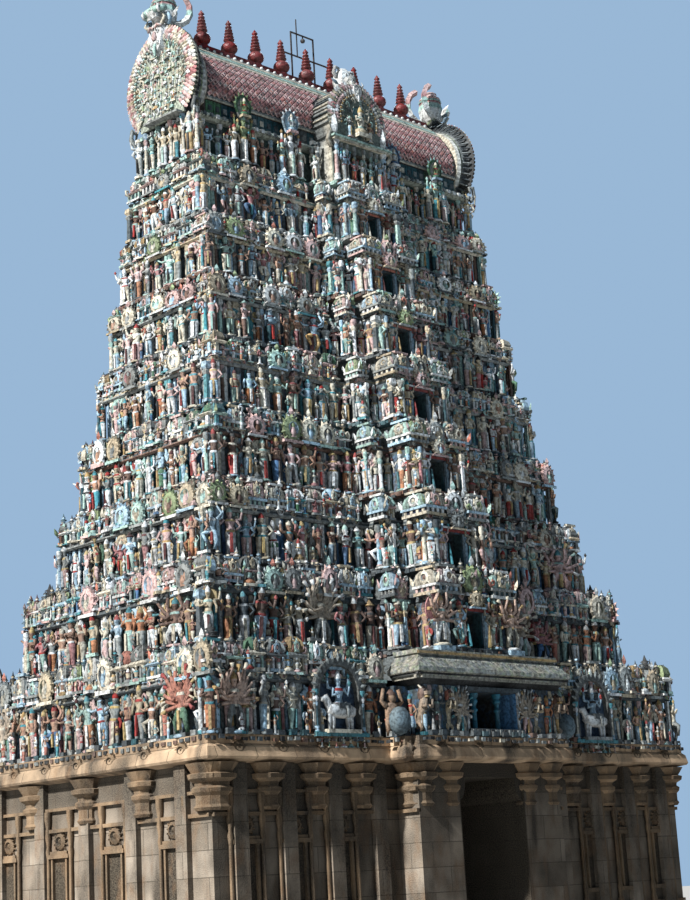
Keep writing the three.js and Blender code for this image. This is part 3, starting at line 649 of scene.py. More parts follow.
finishes = {
    "figures": paintedStucco("painted figures"),
    "trim": paintedStucco("painted mouldings", soot=0.45),
    "granite": graniteFinish("granite", (0.60, 0.56, 0.51), 0.55, 0.95, 0.44, 9.2),
    "cornice": graniteFinish("cornice stone", (0.73, 0.63, 0.52), 2.0, 0.95, 1.0),
    "stonework": graniteFinish("carved granite", (0.72, 0.66, 0.59), 0, 0.95, 0.46),
    "canopy": canopyFinish(),
    "shrines": paintedStucco("shrine stucco", (0.46, 0.50, 0.51)),
    "pillars": paintedStucco("turquoise pillars", (0.18, 0.52, 0.62), 0.5),
    "roof": paintedStucco("roof bed", (0.30, 0.27, 0.27)),
    "maroon": paintedStucco("maroon enamel", (0.50, 0.08, 0.08), 0.35, soot=0.12),
    # Recessed walls: slate, teal and blue paint with near-black patches, kept dark as painted shade behind
    # the figures
    "walls": paintedStucco("recessed wall in painted shade", ["slate", "teal", "dark", "blue"]),
    "band": paintedStucco("pale band", (0.66, 0.70, 0.66)),
    "neck": paintedStucco("neck wall", (0.14, 0.28, 0.26)),
    "gable": archFinish("gable bands", gableArch, 0, 1, gableStops, 60, headStops),
    "dormer": archFinish("dormer bands", dormerArch, 1, 0, dormerStops, 44, headStops[:2]),
    "iron": ironFinish(),
}

# Colours of the ledge lines, from the foot of the tower to the top cornice
ledgeColours = ["sky", "slate", "slate", "brown", "teal", "slate", "brown", "grey", "mint"]
for level, name in enumerate(ledgeColours[1:], 2):
    finishes[f"ledge_{level}"] = paintedStucco(f"ledge {level}", name)

# The finish of each solid, by how its name starts; a storey's solids go by what follows its number
solidFinishes = {
    "plinth": "granite", "granite_wall": "granite", "passage": "granite", "granite_cornice": "cornice",
    "canopy": "canopy", "balcony": "pillars", "neck_walls": "neck", "neck_cornice": "band",
    "top_cornice": "ledge_9", "barrel_roof": "roof", "gable": "gable", "dormer": "dormer",
    "ridge_beam": "maroon", "iron_frame": "iron", "finial": "maroon", "walls": "walls", "shrines": "shrines",
}
for nodeName, solid in nodes.items():
    kind = nodeName.split("_", 2)[2] if nodeName.startswith("storey_") else nodeName
    if kind == "floor":
        chosen = f"ledge_{nodeName.split('_')[1]}"
    else:
        chosen = next(value for key, value in solidFinishes.items() if kind.startswith(key))
    solid.data.materials.clear()
    solid.data.materials.append(finishes[chosen])
print("solids painted")


# Figures, one unit high from foot to crown and facing -Y; arms go shoulder, elbow, hand
gestures = {
    "down": [(0.105, 0, 0.225), (0.15, -0.01, 0.11), (0.145, -0.03, -0.01)],
    "hip": [(0.105, 0, 0.225), (0.19, 0.01, 0.11), (0.10, -0.03, 0.02)],
    "chest": [(0.105, 0, 0.225), (0.15, -0.03, 0.12), (0.03, -0.10, 0.16)],
    "raised": [(0.105, 0, 0.225), (0.18, -0.03, 0.13), (0.19, -0.07, 0.26)],
    "up": [(0.105, 0, 0.225), (0.20, 0, 0.33), (0.11, -0.02, 0.47)],
    "out": [(0.105, 0, 0.225), (0.20, -0.03, 0.20), (0.29, -0.05, 0.26)],
    "rear": [(0.10, 0.02, 0.225), (0.20, 0.02, 0.24), (0.22, 0.0, 0.38)],
}
crowns = {
    "tall": [(0.372, 0.057, 0.061), (0.42, 0.05, 0.052), (0.46, 0.034, 0.034), (0.50, 0.006, 0.006)],
    "round": [(0.365, 0.05, 0.056), (0.40, 0.054, 0.054), (0.44, 0.045, 0.045), (0.475, 0.006, 0.006)],
    "wide": [(0.365, 0.056, 0.06), (0.385, 0.085, 0.08), (0.41, 0.05, 0.05), (0.49, 0.006, 0.006)],
}


def addArms(shape, hip, grow, arms, sides=4):
    for gesture, side in arms:
        path = [(side * x * grow, y * grow, hip + z * grow) for x, y, z in gestures[gesture]]
        shape.tube(path, [0.035 * grow, 0.028 * grow, 0.02 * grow], sides, "skin")
        if gesture in ("rear", "raised", "up") and sides > 3:
            x, y, z = path[-1]
            held = [(z, 0.01, 0.01, x, y), (z + 0.045 * grow, 0.034 * grow, 0.034 * grow, x, y),
                    (z + 0.09 * grow, 0.004, 0.004, x, y)]
            shape.loft(held, 4, "emblem", caps=(False, False))


def upperBody(shape, hip, grow, arms, crown="tall", rearArms=False):
    def rings(rows):
        return [(hip + row[0] * grow,) + tuple(value * grow for value in row[1:]) for row in rows]

    torso = [(-0.03, 0.088, 0.066), (0.02, 0.084, 0.062), (0.09, 0.06, 0.046), (0.19, 0.1, 0.06),
             (0.235, 0.086, 0.052), (0.268, 0.033, 0.034)]
    shape.loft(rings(torso), 6, ["trim", "skin", "skin", "trim", "skin"], caps=(False, False))
    head = [(0.262, 0.03, 0.034), (0.295, 0.037, 0.045, 0, -0.008), (0.345, 0.05, 0.054)]
    shape.loft(rings(head + crowns[crown]), 6, ["skin"] * 3 + ["crown"] * 3, caps=(False, False))
    level, front = hip + 0.325 * grow, -0.047 * grow
    nose = [(0, front, level + 0.018 * grow), (-0.01 * grow, front, level - 0.008 * grow),
            (0.01 * grow, front, level - 0.008 * grow), (0, front - 0.02 * grow, level - 0.005 * grow)]
    shape.put(nose, [(0, 1, 3), (0, 3, 2), (1, 2, 3)], "skin")
    low, high = level + 0.006 * grow, level + 0.014 * grow
    for side in (-1, 1):
        x0, x1 = sorted((side * 0.01 * grow, side * 0.028 * grow))
        eye = [(x, front - 0.002, z) for x, z in ((x0, low), (x1, low), (x1, high), (x0, high))]
        shape.put(eye, [(0, 1, 2, 3)], "dark")
    poses = [(arms[0], -1), (arms[1], 1)] + ([("rear", -1), ("rear", 1)] if rearArms else [])
    addArms(shape, hip, grow, poses)


def lotusFoot(shape, half=0.15, height=0.055):
    rings = [(0, half * 0.9, half * 0.7), (height * 0.5, half, half * 0.8), (height, half * 0.75, half * 0.6)]
    shape.loft(rings, 6, "base")


def standingFigure(arms, lower="legs", crown="tall", rearArms=False, halo=False):
    shape = Shape()
    lotusFoot(shape)
    hip = 0.5
    if lower == "skirt":
        rings = [(0.055, 0.10, 0.066), (0.12, 0.083, 0.058), (0.33, 0.09, 0.064), (0.44, 0.105, 0.072),
                 (hip, 0.08, 0.06)]
        shape.loft(rings, 6, "cloth", caps=(False, False))
        shape.box(-0.024, 0.024, -0.085, -0.05, 0.07, 0.46, "sash", open="back foot top")
    else:
        for side in (-1, 1):
            leg = [(0.055, 0.03, 0.034, side * 0.065), (0.16, 0.036, 0.038, side * 0.062),
                   (hip - 0.02, 0.066, 0.064, side * 0.04)]
            shape.loft(leg, 5, "cloth" if "legs" in lower else "skin", caps=(False, False))
            x0, x1 = side * 0.07 - 0.026, side * 0.07 + 0.026
            shape.box(x0, x1, -0.075, 0.02, 0.05, 0.075, "skin", open="back foot")
        if "short" in lower:
            rings = [(0.33, 0.105, 0.07), (0.42, 0.108, 0.075), (hip, 0.082, 0.06)]
            shape.loft(rings, 6, "cloth", caps=(True, False))
        shape.box(-0.02, 0.02, -0.08, -0.045, 0.14, 0.47, "sash", open="back top")
    upperBody(shape, hip, 1.0, arms, crown, rearArms)
    if halo:
        shape.plate(archPoints(0.19, 0.19, 0.80, 0.9, 8), 0.055, 0.085, "halo", inset=0.12)
    if "club" in lower:
        shape.tube([(0.2, -0.06, 0.03), (0.17, -0.05, 0.5)], [0.045, 0.014], 5, "emblem")
    return shape


def dancingFigure():
    shape = Shape()
    lotusFoot(shape)
    hip = 0.46
    shape.tube([(0.04, 0, hip), (0.09, -0.05, 0.26), (0.03, 0, 0.06)], [0.062, 0.045, 0.03], 5, "cloth")
    lifted = [(-0.04, 0, hip), (-0.17, -0.08, 0.40), (-0.08, -0.07, 0.20)]
    shape.tube(lifted, [0.062, 0.045, 0.028], 5, "cloth")
    shape.box(-0.02, 0.02, -0.08, -0.045, 0.2, 0.44, "sash", open="back top")
    upperBody(shape, hip, 1.05, ("out", "up"), "tall", True)
    return shape


# Little figures of the upper rows, standing or seated, made of one turned body: its rings, the half size of
# its foot, the level and size of its arms, and the middle of its halo
littleBodies = {
    "seated": {"rings": [(0.12, 0.2, 0.14), (0.22, 0.24, 0.17), (0.3, 0.12, 0.09), (0.36, 0.095, 0.07),
                         (0.57, 0.14, 0.09), (0.65, 0.11, 0.07), (0.69, 0.045, 0.05), (0.79, 0.075, 0.08),
                         (0.84, 0.085, 0.088), (0.91, 0.058, 0.06), (1.0, 0.006, 0.006)],
               "foot": (-0.24, 0.24, -0.17, 0.14, 0, 0.12), "hip": 0.36, "grow": 1.36, "halo": 0.78},
    "standing": {"rings": [(0.05, 0.088, 0.07), (0.25, 0.07, 0.055), (0.42, 0.1, 0.07), (0.5, 0.07, 0.052),
                           (0.67, 0.1, 0.062), (0.73, 0.08, 0.05), (0.76, 0.032, 0.034), (0.84, 0.053, 0.056),
                           (0.87, 0.06, 0.062), (0.93, 0.045, 0.046), (1.0, 0.006, 0.006)],
                 "foot": (-0.15, 0.15, -0.1, 0.1, 0, 0.05), "hip": 0.48, "grow": 1.0, "halo": 0.82},
}


def littleFigure(stance, arms, crown=0.0, halo=False):
    body = littleBodies[stance]
    shape = Shape().box(*body["foot"], "base", open="foot back")
    rings = [(z, x + (crown if index == 8 else 0.0), y) for index, (z, x, y) in enumerate(body["rings"])]
    names = ["cloth", "cloth", "trim", "skin", "trim", "skin", "skin", "crown", "crown", "crown"]
    shape.loft(rings, 5, names, caps=(False, False))
    addArms(shape, body["hip"], body["grow"], [(arms[0], -1), (arms[1], 1)], 3)
    if halo:
        shape.plate(archPoints(0.22, 0.22, body["halo"], 0.8, 7), 0.06, 0.09, "halo")
    return shape


# Pot-bellied giant that squats under a ledge and lifts a ball
def giantFigure():
    shape = Shape()
    for side in (-1, 1):
        leg = [(side * 0.1, 0, 0.38), (side * 0.26, -0.12, 0.28), (side * 0.17, -0.03, 0.02)]
        arm = [(side * 0.2, 0, 0.66), (side * 0.36, -0.02, 0.74), (side * 0.26, 0, 1.0)]
        shape.tube(leg, [0.1, 0.08, 0.06], 5, "skin")
        shape.tube(arm, [0.08, 0.06, 0.05], 5, "skin")
    belly = [(0.28, 0.14, 0.12), (0.42, 0.22, 0.2, 0, -0.03), (0.58, 0.2, 0.16), (0.7, 0.19, 0.12),
             (0.73, 0.09, 0.08)]
    shape.loft(belly, 8, "skin")
    shape.loft([(0.3, 0.2, 0.17), (0.38, 0.225, 0.2)], 8, "cloth")
    head = [(0.7, 0.08, 0.09), (0.78, 0.13, 0.14, 0, -0.02), (0.88, 0.12, 0.13), (0.96, 0.05, 0.05)]
    shape.loft(head, 8, "skin")
    shape.loft([(0.87, 0.135, 0.14), (0.93, 0.11, 0.11), (1.0, 0.05, 0.05)], 8, "crown")
    ball = []
    for angle in np.linspace(0, math.pi, 7):
        radius = 0.3 * math.sin(angle) + 0.01
        ball.append((0.32 - 0.3 * math.cos(angle), radius, radius, 0, -0.3))
    return shape.loft(ball, 10, "halo")


# Rearing horned lion used as a bracket
def rearingLion():
    shape = Shape()
    shape.box(-0.12, 0.12, -0.12, 0.16, 0, 0.07, "base", open="foot")
    back = [(0, 0.1, 0.2), (0, 0.06, 0.42), (0, -0.02, 0.62), (0, -0.04, 0.76)]
    shape.tube(back, [0.12, 0.1, 0.11, 0.09], 6, "skin")
    limbs = (
        ([(0.07, 0.08, 0.25), (0.1, -0.03, 0.16), (0.08, 0.02, 0.07)], [0.07, 0.05, 0.035], "skin"),
        ([(0.08, -0.05, 0.58), (0.1, -0.2, 0.56), (0.09, -0.22, 0.7)], [0.05, 0.038, 0.03], "skin"),
        ([(0.05, -0.04, 0.92), (0.1, 0.02, 0.99), (0.06, 0.05, 1.0)], [0.03, 0.02, 0.008], "trim"),
    )
    for side in (-1, 1):
        for path, radii, role in limbs:
            shape.tube([(side * x, y, z) for x, y, z in path], radii, 4, role)
        shape.box(side * 0.05 - 0.018, side * 0.05 + 0.018, -0.135, -0.1, 0.87, 0.9, "dark")
    head = [(0.72, 0.11, 0.1), (0.8, 0.13, 0.14, 0, -0.02), (0.9, 0.11, 0.12, 0, -0.02), (0.96, 0.05, 0.06)]
    shape.loft(head, 6, "cloth")
    shape.box(-0.06, 0.06, -0.22, -0.08, 0.79, 0.86, "skin")
    shape.box(-0.045, 0.045, -0.2, -0.08, 0.74, 0.775, "emblem")
    shape.tube([(0, 0.2, 0.15), (0, 0.26, 0.4), (0, 0.16, 0.55)], [0.03, 0.025, 0.03], 4, "skin")
    return shape


# A deity with a wheel of arms behind its shoulders, each a little different, and what the hands hold
wheel = {
    "low": -0.2, "sweep": 1.4, "elbow": 0.2, "bend": 0.62, "reaches": (0.33, 0.39, 0.29, 0.36),
    "tips": (0.12, 0.07, 0.1), "held": ["emblem", "crown", "trim", "sash", "emblem"],
}


def fanFigure(armCount=14):
    shape = Shape()
    lotusFoot(shape, 0.2, 0.06)
    hip = 0.44
    for side in (-1, 1):
        leg = [(side * 0.05, 0, hip), (side * 0.13, -0.04, 0.26), (side * 0.13, 0, 0.07)]
        shape.tube(leg, [0.07, 0.05, 0.035], 5, "cloth")
    shape.box(-0.03, 0.03, -0.085, -0.04, 0.12, 0.42, "sash", open="back top")
    shape.loft([(0.3, 0.13, 0.08), (0.38, 0.12, 0.08), (hip, 0.09, 0.065)], 6, "cloth")
    upperBody(shape, hip, 1.12, ("chest", "hip"))
    centre = hip + 0.24
    for index in range(armCount):
        angle = math.pi * (wheel["low"] + wheel["sweep"] * index / (armCount - 1))
        c, s = math.cos(angle), math.sin(angle)
        low = angle + (wheel["bend"] if angle > math.pi / 2 else -wheel["bend"])
        elbow = (wheel["elbow"] * math.cos(low), 0.0, centre + wheel["elbow"] * math.sin(low))
        reach = wheel["reaches"][index % 4]
        hand = (reach * c, -0.06, centre + reach * s)
        shape.tube([(0.08 * c, 0.03, centre), elbow, hand], [0.05, 0.046, 0.03], 4, "skin")
        tip = reach + wheel["tips"][index % 3]
        shape.tube([hand, (tip * c, -0.07, centre + tip * s)], [0.022, 0.04], 4, wheel["held"][index % 5])
    return shape.plate(archPoints(0.34, 0.34, centre, 0.5, 11), 0.06, 0.09, "halo")


# A deity on the back of a standing animal
def riderFigure():
    shape = Shape()
    shape.box(-0.36, 0.36, -0.16, 0.12, 0, 0.06, "base", open="foot")
    for x in (-0.24, -0.16, 0.17, 0.25):
        shape.tube([(x, -0.02, 0.06), (x * 0.95, -0.02, 0.3)], [0.03, 0.05], 4, "mount", caps=(False, False))
    body = [(0.3, -0.02, 0.34), (0.12, -0.02, 0.36), (-0.14, -0.02, 0.36), (-0.26, -0.02, 0.4)]
    shape.tube(body, [0.09, 0.125, 0.12, 0.09], 6, "mount", (True, True))
    neck = [(-0.22, -0.02, 0.4), (-0.32, -0.03, 0.55), (-0.42, -0.04, 0.52)]
    shape.tube(neck, [0.08, 0.07, 0.04], 5, "mount")
    shape.box(-0.1, 0.14, -0.16, 0.1, 0.38, 0.47, "sash")
    knee = [(0.05, -0.1, 0.46), (0.08, -0.17, 0.36), (0.06, -0.18, 0.24)]
    shape.tube(knee, [0.05, 0.04, 0.025], 4, "cloth")
    upperBody(shape, 0.46, 1.05, ("chest", "raised"), "tall", True)
    return shape


figures = {
    "attendant": standingFigure(("hip", "raised"), "skirt"),
    "maiden": standingFigure(("raised", "down"), "skirt", "round"),
    "devotee": standingFigure(("chest", "chest"), "legs", "wide"),
    "king": standingFigure(("down", "hip"), "legs"),
    "archer": standingFigure(("out", "chest"), "short", "tall"),
    "deity": standingFigure(("chest", "hip"), "legs", rearArms=True),
    "goddess": standingFigure(("raised", "hip"), "skirt", rearArms=True),
    "haloed": standingFigure(("chest", "down"), "skirt", rearArms=True, halo=True),
    "dancer": dancingFigure(),
}
littleOnes = [
    littleFigure("standing", ("hip", "raised")), littleFigure("standing", ("chest", "chest")),
    littleFigure("standing", ("out", "up"), crown=0.02), littleFigure("seated", ("raised", "hip")),
    littleFigure("seated", ("chest", "raised"), halo=True),
    littleFigure("standing", ("down", "chest"), halo=True),
]
guardian = standingFigure(("out", "hip"), "short club", rearArms=True)
eightArmed, fan, rider = fanFigure(8), fanFigure(), riderFigure()
giant, lion = giantFigure(), rearingLion()

# Paints with weights; the lower storeys are browner and greyer than the upper ones
palettes = {
    "skins": {"cream": 4, "pink": 4, "tan": 4.5, "sand": 3, "brown": 1.5, "mint": 1.5, "sky": 1.5, "white": 3,
              "rose": 1, "grey": 2},
    "lowSkins": {"tan": 5, "brown": 3.5, "orange": 0.8, "sand": 2, "grey": 3, "cream": 1.5, "rose": 0.7,
                 "slate": 1.5, "sky": 1.5, "mint": 0.7},
    "cloths": {"white": 7, "sky": 5, "turquoise": 2, "red": 0.8, "orange": 1.4, "ochre": 1, "mint": 2.5,
               "pink": 3.5, "teal": 1, "cream": 4, "blue": 0.8, "green": 0.8, "rose": 1.5, "coral": 0.8,
               "grey": 3, "brown": 0.8},
    "brights": {"white": 4, "gold": 2, "red": 1.5, "turquoise": 2, "mint": 2, "ochre": 1, "dark": 1,
                "cream": 2, "maroon": 1},
    "halos": {"gold": 2, "red": 1, "green": 1, "sky": 2, "cream": 3},
    "mounts": {"white": 3, "grey": 1, "cream": 1},
    "stones": {"white": 5, "cream": 5, "sky": 3, "grey": 3, "mint": 3, "turquoise": 1, "pink": 3, "sand": 2,
               "slate": 1},
    "roofs": {"grey": 3, "mint": 2, "green": 1.2, "turquoise": 1, "leaf": 1, "sky": 2, "pink": 3, "sand": 1.5,
              "cream": 4, "ochre": 1, "coral": 0.6, "white": 2},
    "bayRoofs": {"cream": 4, "sand": 1.5, "orange": 0.8, "mint": 3, "sky": 3, "white": 3, "grey": 2,
                 "pink": 2, "leaf": 1},
    "bayLights": {"white": 2, "sky": 2, "grey": 1},
    "shafts": {"turquoise": 2, "sky": 4, "white": 4, "blue": 1.5, "teal": 1.5, "mint": 2.5, "grey": 3,
               "cream": 4, "slate": 2, "brown": 1, "rose": 1},
    # Mostly near-black: painted shade in the backs of niches and recesses
    "deeps": {"dark": 5, "slate": 2, "teal": 1.5, "navy": 1.5, "maroon": 0.5},
    "pots": {"dark": 4, "teal": 1, "slate": 3, "white": 1, "maroon": 1},
    "crests": {"cream": 5, "white": 1.2, "sand": 3, "pink": 3, "grey": 3, "mint": 2, "sky": 1, "leaf": 0.6},
    "fields": {"sand": 3, "grey": 4, "cream": 2, "rose": 1, "mint": 1.5, "slate": 2, "olive": 0.6, "sky": 1,
               "brown": 0.5},
    "leaves": {"cream": 3, "white": 3, "pink": 2, "mint": 2, "leaf": 1, "coral": 1, "grey": 2},
    "encrusted": {"cream": 6, "mint": 3.5, "white": 4, "leaf": 1, "sand": 2, "grey": 2.5, "pink": 1.2,
                  "ochre": 0.3},
    "dormerFace": {"slate": 1, "teal": 0.7, "cream": 3, "mint": 2, "grey": 3, "sand": 2},
    "feathers": {"rose": 1.2, "pink": 4, "white": 2.5, "cream": 4, "sand": 1},
    "lips": {"slate": 3, "teal": 1, "grey": 3, "brown": 3, "sand": 1, "dark": 1},
    "topLips": {"mint": 3, "cream": 1},
    "edgeBlocks": {"grey": 2, "slate": 3, "dark": 4, "brown": 1, "cream": 0.7},
    "cornicePlants": {"slate": 4, "grey": 1, "teal": 2, "brown": 1},
    "tiles": {"rose": 5, "maroon": 1, "slate": 1.5, "coral": 1.5, "grey": 1},
    "frieze": {"teal": 5, "green": 2, "slate": 2},
    "friezeBosses": {"grey": 2, "cream": 1, "rose": 1, "slate": 2},
    "neckBlocks": {"white": 3, "grey": 2, "slate": 2, "mint": 1, "red": 0.6},
}


def pick(rng, name):
    palette = palettes[name]
    return rng.choices(list(palette), list(palette.values()))[0]


def shade(rng, name, spread=0.1):
    return tinted(rng, pick(rng, name), spread)


# Colours of a figure's roles, then of a carved form's; fixed ones are given by name
def dressed(rng, low=False, **fixed):
    return {
        "skin": shade(rng, "lowSkins" if low else "skins"), "cloth": shade(rng, "cloths"),
        "sash": pick(rng, "brights"), "trim": pick(rng, "brights"), "crown": pick(rng, "brights"),
        "emblem": pick(rng, "brights"), "halo": pick(rng, "halos"), "base": shade(rng, "stones"),
        "mount": pick(rng, "mounts"), "dark": "dark",
    } | fixed


def masonry(rng, **fixed):
    roof = shade(rng, "roofs")
    return {
        "shaft": shade(rng, "shafts"), "base": shade(rng, "stones"), "cap": pick(rng, "stones"),
        "light": shade(rng, "stones"), "deep": shade(rng, "deeps"), "roof": roof,
        "rib": tuple(channel * 0.72 for channel in roof), "pot": pick(rng, "pots"),
        "rim": shade(rng, "crests"), "field": shade(rng, "fields"), "boss": shade(rng, "skins"),
        "crest": pick(rng, "stones"), "leaf": shade(rng, "leaves"),
    } | fixed


# The same with pale blocks, as on the bay
def blocky(rng):
    roof = shade(rng, "bayRoofs")
    rib = tuple(channel * 0.8 for channel in roof)
    return masonry(rng) | {"roof": roof, "rib": rib, "light": pick(rng, "bayLights")}


# Carved forms, one unit wide, standing on Z = 0
def pilasterShape(sides):
    root = 1.0 if sides > 4 else math.sqrt(2)
    rows = [(0, 0.5), (0.07, 0.5), (0.1, 0.34), (0.68, 0.29), (0.76, 0.46), (0.82, 0.3), (0.88, 0.5),
            (1.0, 0.44)]
    rings = [(z, r * root, r * root) for z, r in rows]
    roles = ["base", "cap", "shaft", "cap", "cap", "base", "base"]
    return Shape().loft(rings, sides, roles, sides > 4, caps=(False, False))


def leafShape():
    outline = [(-0.1, 0), (0.1, 0), (0.28, 0.34), (0.16, 0.7), (0, 1.0), (-0.16, 0.7), (-0.28, 0.34)]
    points = [(x, 0.0, z) for x, z in outline] + [(0, -0.16, 0.4), (0, 0.1, 0.4)]
    front = [(index, (index + 1) % 7, 7) for index in range(7)]
    return Shape().put(points, front + [(b, a, 8) for a, b, _ in front], "leaf")


def curlShape():
    path = [(0, 0, 0), (0.32, -0.05, 0.3), (0.2, -0.1, 0.72), (-0.16, -0.12, 0.66), (-0.08, -0.12, 0.36)]
    return Shape().tube(path, [0.14, 0.15, 0.13, 0.1, 0.06], 4, "leaf")


# Round plaque: petals round a raised rim and a hollow field, with a figure in it where it has a boss
def plaqueShape(count=12, boss=True, petals=11):
    shape = Shape()
    radius, middle, spread = 0.4, 0.5, 1.9 / petals
    for angle in np.linspace(-0.8, math.pi + 0.8, petals):
        roots = [(angle - spread, 0.03), (angle + spread, 0.03), (angle, -0.15)]
        points = [(radius * math.cos(a), y, middle + radius * math.sin(a)) for a, y in roots]
        points.append((1.42 * radius * math.cos(angle), -0.04, middle + 1.46 * radius * math.sin(angle)))
        shape.put(points, [(2, 0, 3), (1, 2, 3), (0, 1, 3)], "rim")
    rings = [(0.42, 0.05), (0.42, -0.08), (0.24, -0.16), (0.17, -0.07)]
    turns = [2 * math.pi * index / count for index in range(count)]
    points = [(r * math.cos(a), y, middle + r * math.sin(a)) for r, y in rings for a in turns]
    shape.skin(points, 4, count, ["rim", "rim", "field"], False, (False, True))
    knob = [(-0.13, -0.07, middle - 0.13), (0.13, -0.07, middle - 0.13), (0.1, -0.07, middle + 0.13),
            (-0.1, -0.07, middle + 0.13), (0, -0.17, middle + 0.02)]
    shape.put(knob, [(0, 1, 4), (1, 2, 4), (2, 3, 4), (3, 0, 4)], "boss")
    if boss:
        shape.box(-0.46, 0.46, -0.16, 0.02, 0, 0.1, "base", open="back foot")
        body = [(0.2, 0.17, 0.09, 0, -0.08), (0.42, 0.14, 0.11, 0, -0.1), (0.54, 0.07, 0.07, 0, -0.1),
                (0.63, 0.1, 0.1, 0, -0.11), (0.76, 0.02, 0.02, 0, -0.1)]
        shape.loft(body, 5, ["boss", "boss", "rim", "rim"], caps=(False, False))
        shape.include(leafShape(), shifted(0, -0.04, 0.98, (0.5, 0.7, 0.32)))
    return shape


# Turned cap on a stem, the small finial that closes most uprights
def capShape():
    rows = [(0, 0.16, "light"), (0.34, 0.13, "light"), (0.4, 0.34, "pot"), (0.5, 0.32, "pot"),
            (0.56, 0.13, "light"), (0.66, 0.24, "pot"), (0.74, 0.1, "pot"), (1.0, 0.01)]
    return turned(rows, 4)


# Fluted roof over an oblong plan, its flutes in two paints
def flutedRoof(shape, z0, z1, half, depth, middle, flutes=7):
    outline = []
    for index in range(flutes + 1):
        outline.append((-half + 2 * half * index / flutes, -depth - (0.04 if index % 2 else 0.0)))
    outline += [(half, depth), (-half, depth)]
    points = []
    for share, grow in ((0.0, 0.96), (0.28, 1.1), (0.72, 0.9), (1.0, 0.42)):
        points += [(x * grow, middle + y * grow, z0 + (z1 - z0) * share) for x, y in outline]
    return shape.skin(points, 4, len(outline), "roof", False, (False, True), ["roof", "rib"])


# Small pavilion with pillars, a niche painted dark as painted shade, a cornice and a fluted or domed roof;
# about 1.1 units high
def pavilionShape(dome=False):
    shape = Shape()
    shape.box(-0.5, 0.5, -0.42, 0, 0, 0.09, "light", open="back foot")
    shape.box(-0.4, 0.4, -0.16, 0, 0.09, 0.42, "deep", open="back foot top")
    for x in (-0.41, -0.15, 0.15, 0.41):
        shape.box(x - 0.05, x + 0.05, -0.36, -0.14, 0.09, 0.42, "shaft", open="back foot top")
    root = math.sqrt(2)
    cornice = ((0.4, 0.44, 0.34), (0.46, 0.56, 0.44), (0.53, 0.44, 0.34))
    rings = [(z, x * root, y * root, 0, -0.05) for z, x, y in cornice]
    shape.loft(rings, 4, "base", False, caps=(False, False))
    if dome:
        rings = [(0.53, 0.34, 0.3), (0.62, 0.44, 0.38), (0.78, 0.38, 0.32), (0.9, 0.16, 0.14)]
        shape.loft([(*ring, 0, -0.05) for ring in rings], 8, "roof")
    else:
        flutedRoof(shape, 0.52, 0.93, 0.42, 0.3, -0.06)
    return shape.include(plaqueShape(7, False, 5), shifted(0, -0.42, 0.5, 0.36))


# Broad fluted block with a moulded foot and a rolled top, half a unit either side
def flutedShape():
    shape = Shape()
    shape.box(-0.5, 0.5, -0.24, 0, 0, 0.1, "base", open="back foot")
    # Painted shade: the recess behind the small pillars takes a dark paint
    shape.box(-0.44, 0.44, -0.16, 0, 0.1, 0.24, "deep", open="back foot")
    for x in (-0.36, -0.12, 0.12, 0.36):
        shape.box(x - 0.05, x + 0.05, -0.22, -0.14, 0.1, 0.24, "cap", open="back foot top")
    shape.box(-0.52, 0.52, -0.28, 0, 0.24, 0.32, "light", open="back")
    flutedRoof(shape, 0.32, 0.84, 0.42, 0.2, 0.0, 6)
    shape.box(-0.36, 0.36, -0.2, 0, 0.84, 0.92, "base", open="back")
    shape.include(plaqueShape(8, False, 7), shifted(0, -0.2, 0.3, (0.5, 0.6, 0.52)))
    for side in (-1, 1):
        shape.include(leafShape(), shifted(side * 0.5, -0.2, 0.34, (0.28, 0.4, 0.36), lean=side * 0.4))
    return shape


# Eight-sided shrine for the corners, with a stacked finial that rises past the next ledge
def cornerShape():
    # The recessed band under the shrine's cornice is painted dark, as painted shade
    rows = [(0, 0.56, "light"), (0.12, 0.56, "light"), (0.14, 0.46, "deep"), (0.4, 0.46, "base"),
            (0.44, 0.64, "light"), (0.52, 0.66, "light"), (0.56, 0.5, "cap"), (0.64, 0.5, "roof"),
            (0.76, 0.56, "roof"), (0.9, 0.44, "roof")]
    pots = [(1.0, 0.2), (1.03, 0.3), (1.08, 0.3), (1.1, 0.12), (1.16, 0.24), (1.21, 0.22), (1.24, 0.1),
            (1.3, 0.17), (1.35, 0.08), (1.55, 0.01)]
    return turned(rows + [(z, r, "pot") for z, r in pots], 8)


shapes = {
    "round": pilasterShape(6), "square": pilasterShape(4), "plaque": plaqueShape(),
    "kudu": plaqueShape(7, False, 6), "cap": capShape(), "sala": pavilionShape(), "kuta": pavilionShape(True),
    "corner": cornerShape(), "leaf": leafShape(), "curl": curlShape(), "fluted": flutedShape(),
}
block = Shape().box(-0.5, 0.5, -0.5, 0.5, 0, 1, "block", open="foot back")


# Painted figures along a storey's ledge, between pilasters; their crowns stand before the eave
mainRow = {
    "pitch": 0.9, "narrowPitch": 0.675, "inset": 0.25, "doorRoom": 0.35, "cornerRoom": 0.55,
    "pilasterWidth": 0.3, "postPitch": 0.45, "wheelShare": 0.07, "childShare": 0.6, "archShare": 0.4,
    "scrollShare": 0.5,
}

# Places on the lower ledges that larger carvings take: storey, across, out, half width
kept = [
    (1, -8.7, -9.4, 1.55), (1, 9.0, -9.4, 1.55), (1, -16.2, -7.3, 0.9), (2, -7.6, -8.0, 1.0),
    (2, 6.4, -8.0, 0.9), (2, -2.75, -10.1, 0.8), (2, 2.75, -10.1, 0.8),
]
quarters = ((-1, -1, -0.78), (1, -1, 0.78), (1, 1, 2.36), (-1, 1, -2.36))


def atCorner(k, run, along):
    return run.kind == "flank" and abs(run.spot(along, 0, 0)[0, 3]) > halfLength(k) - mainRow["cornerRoom"]


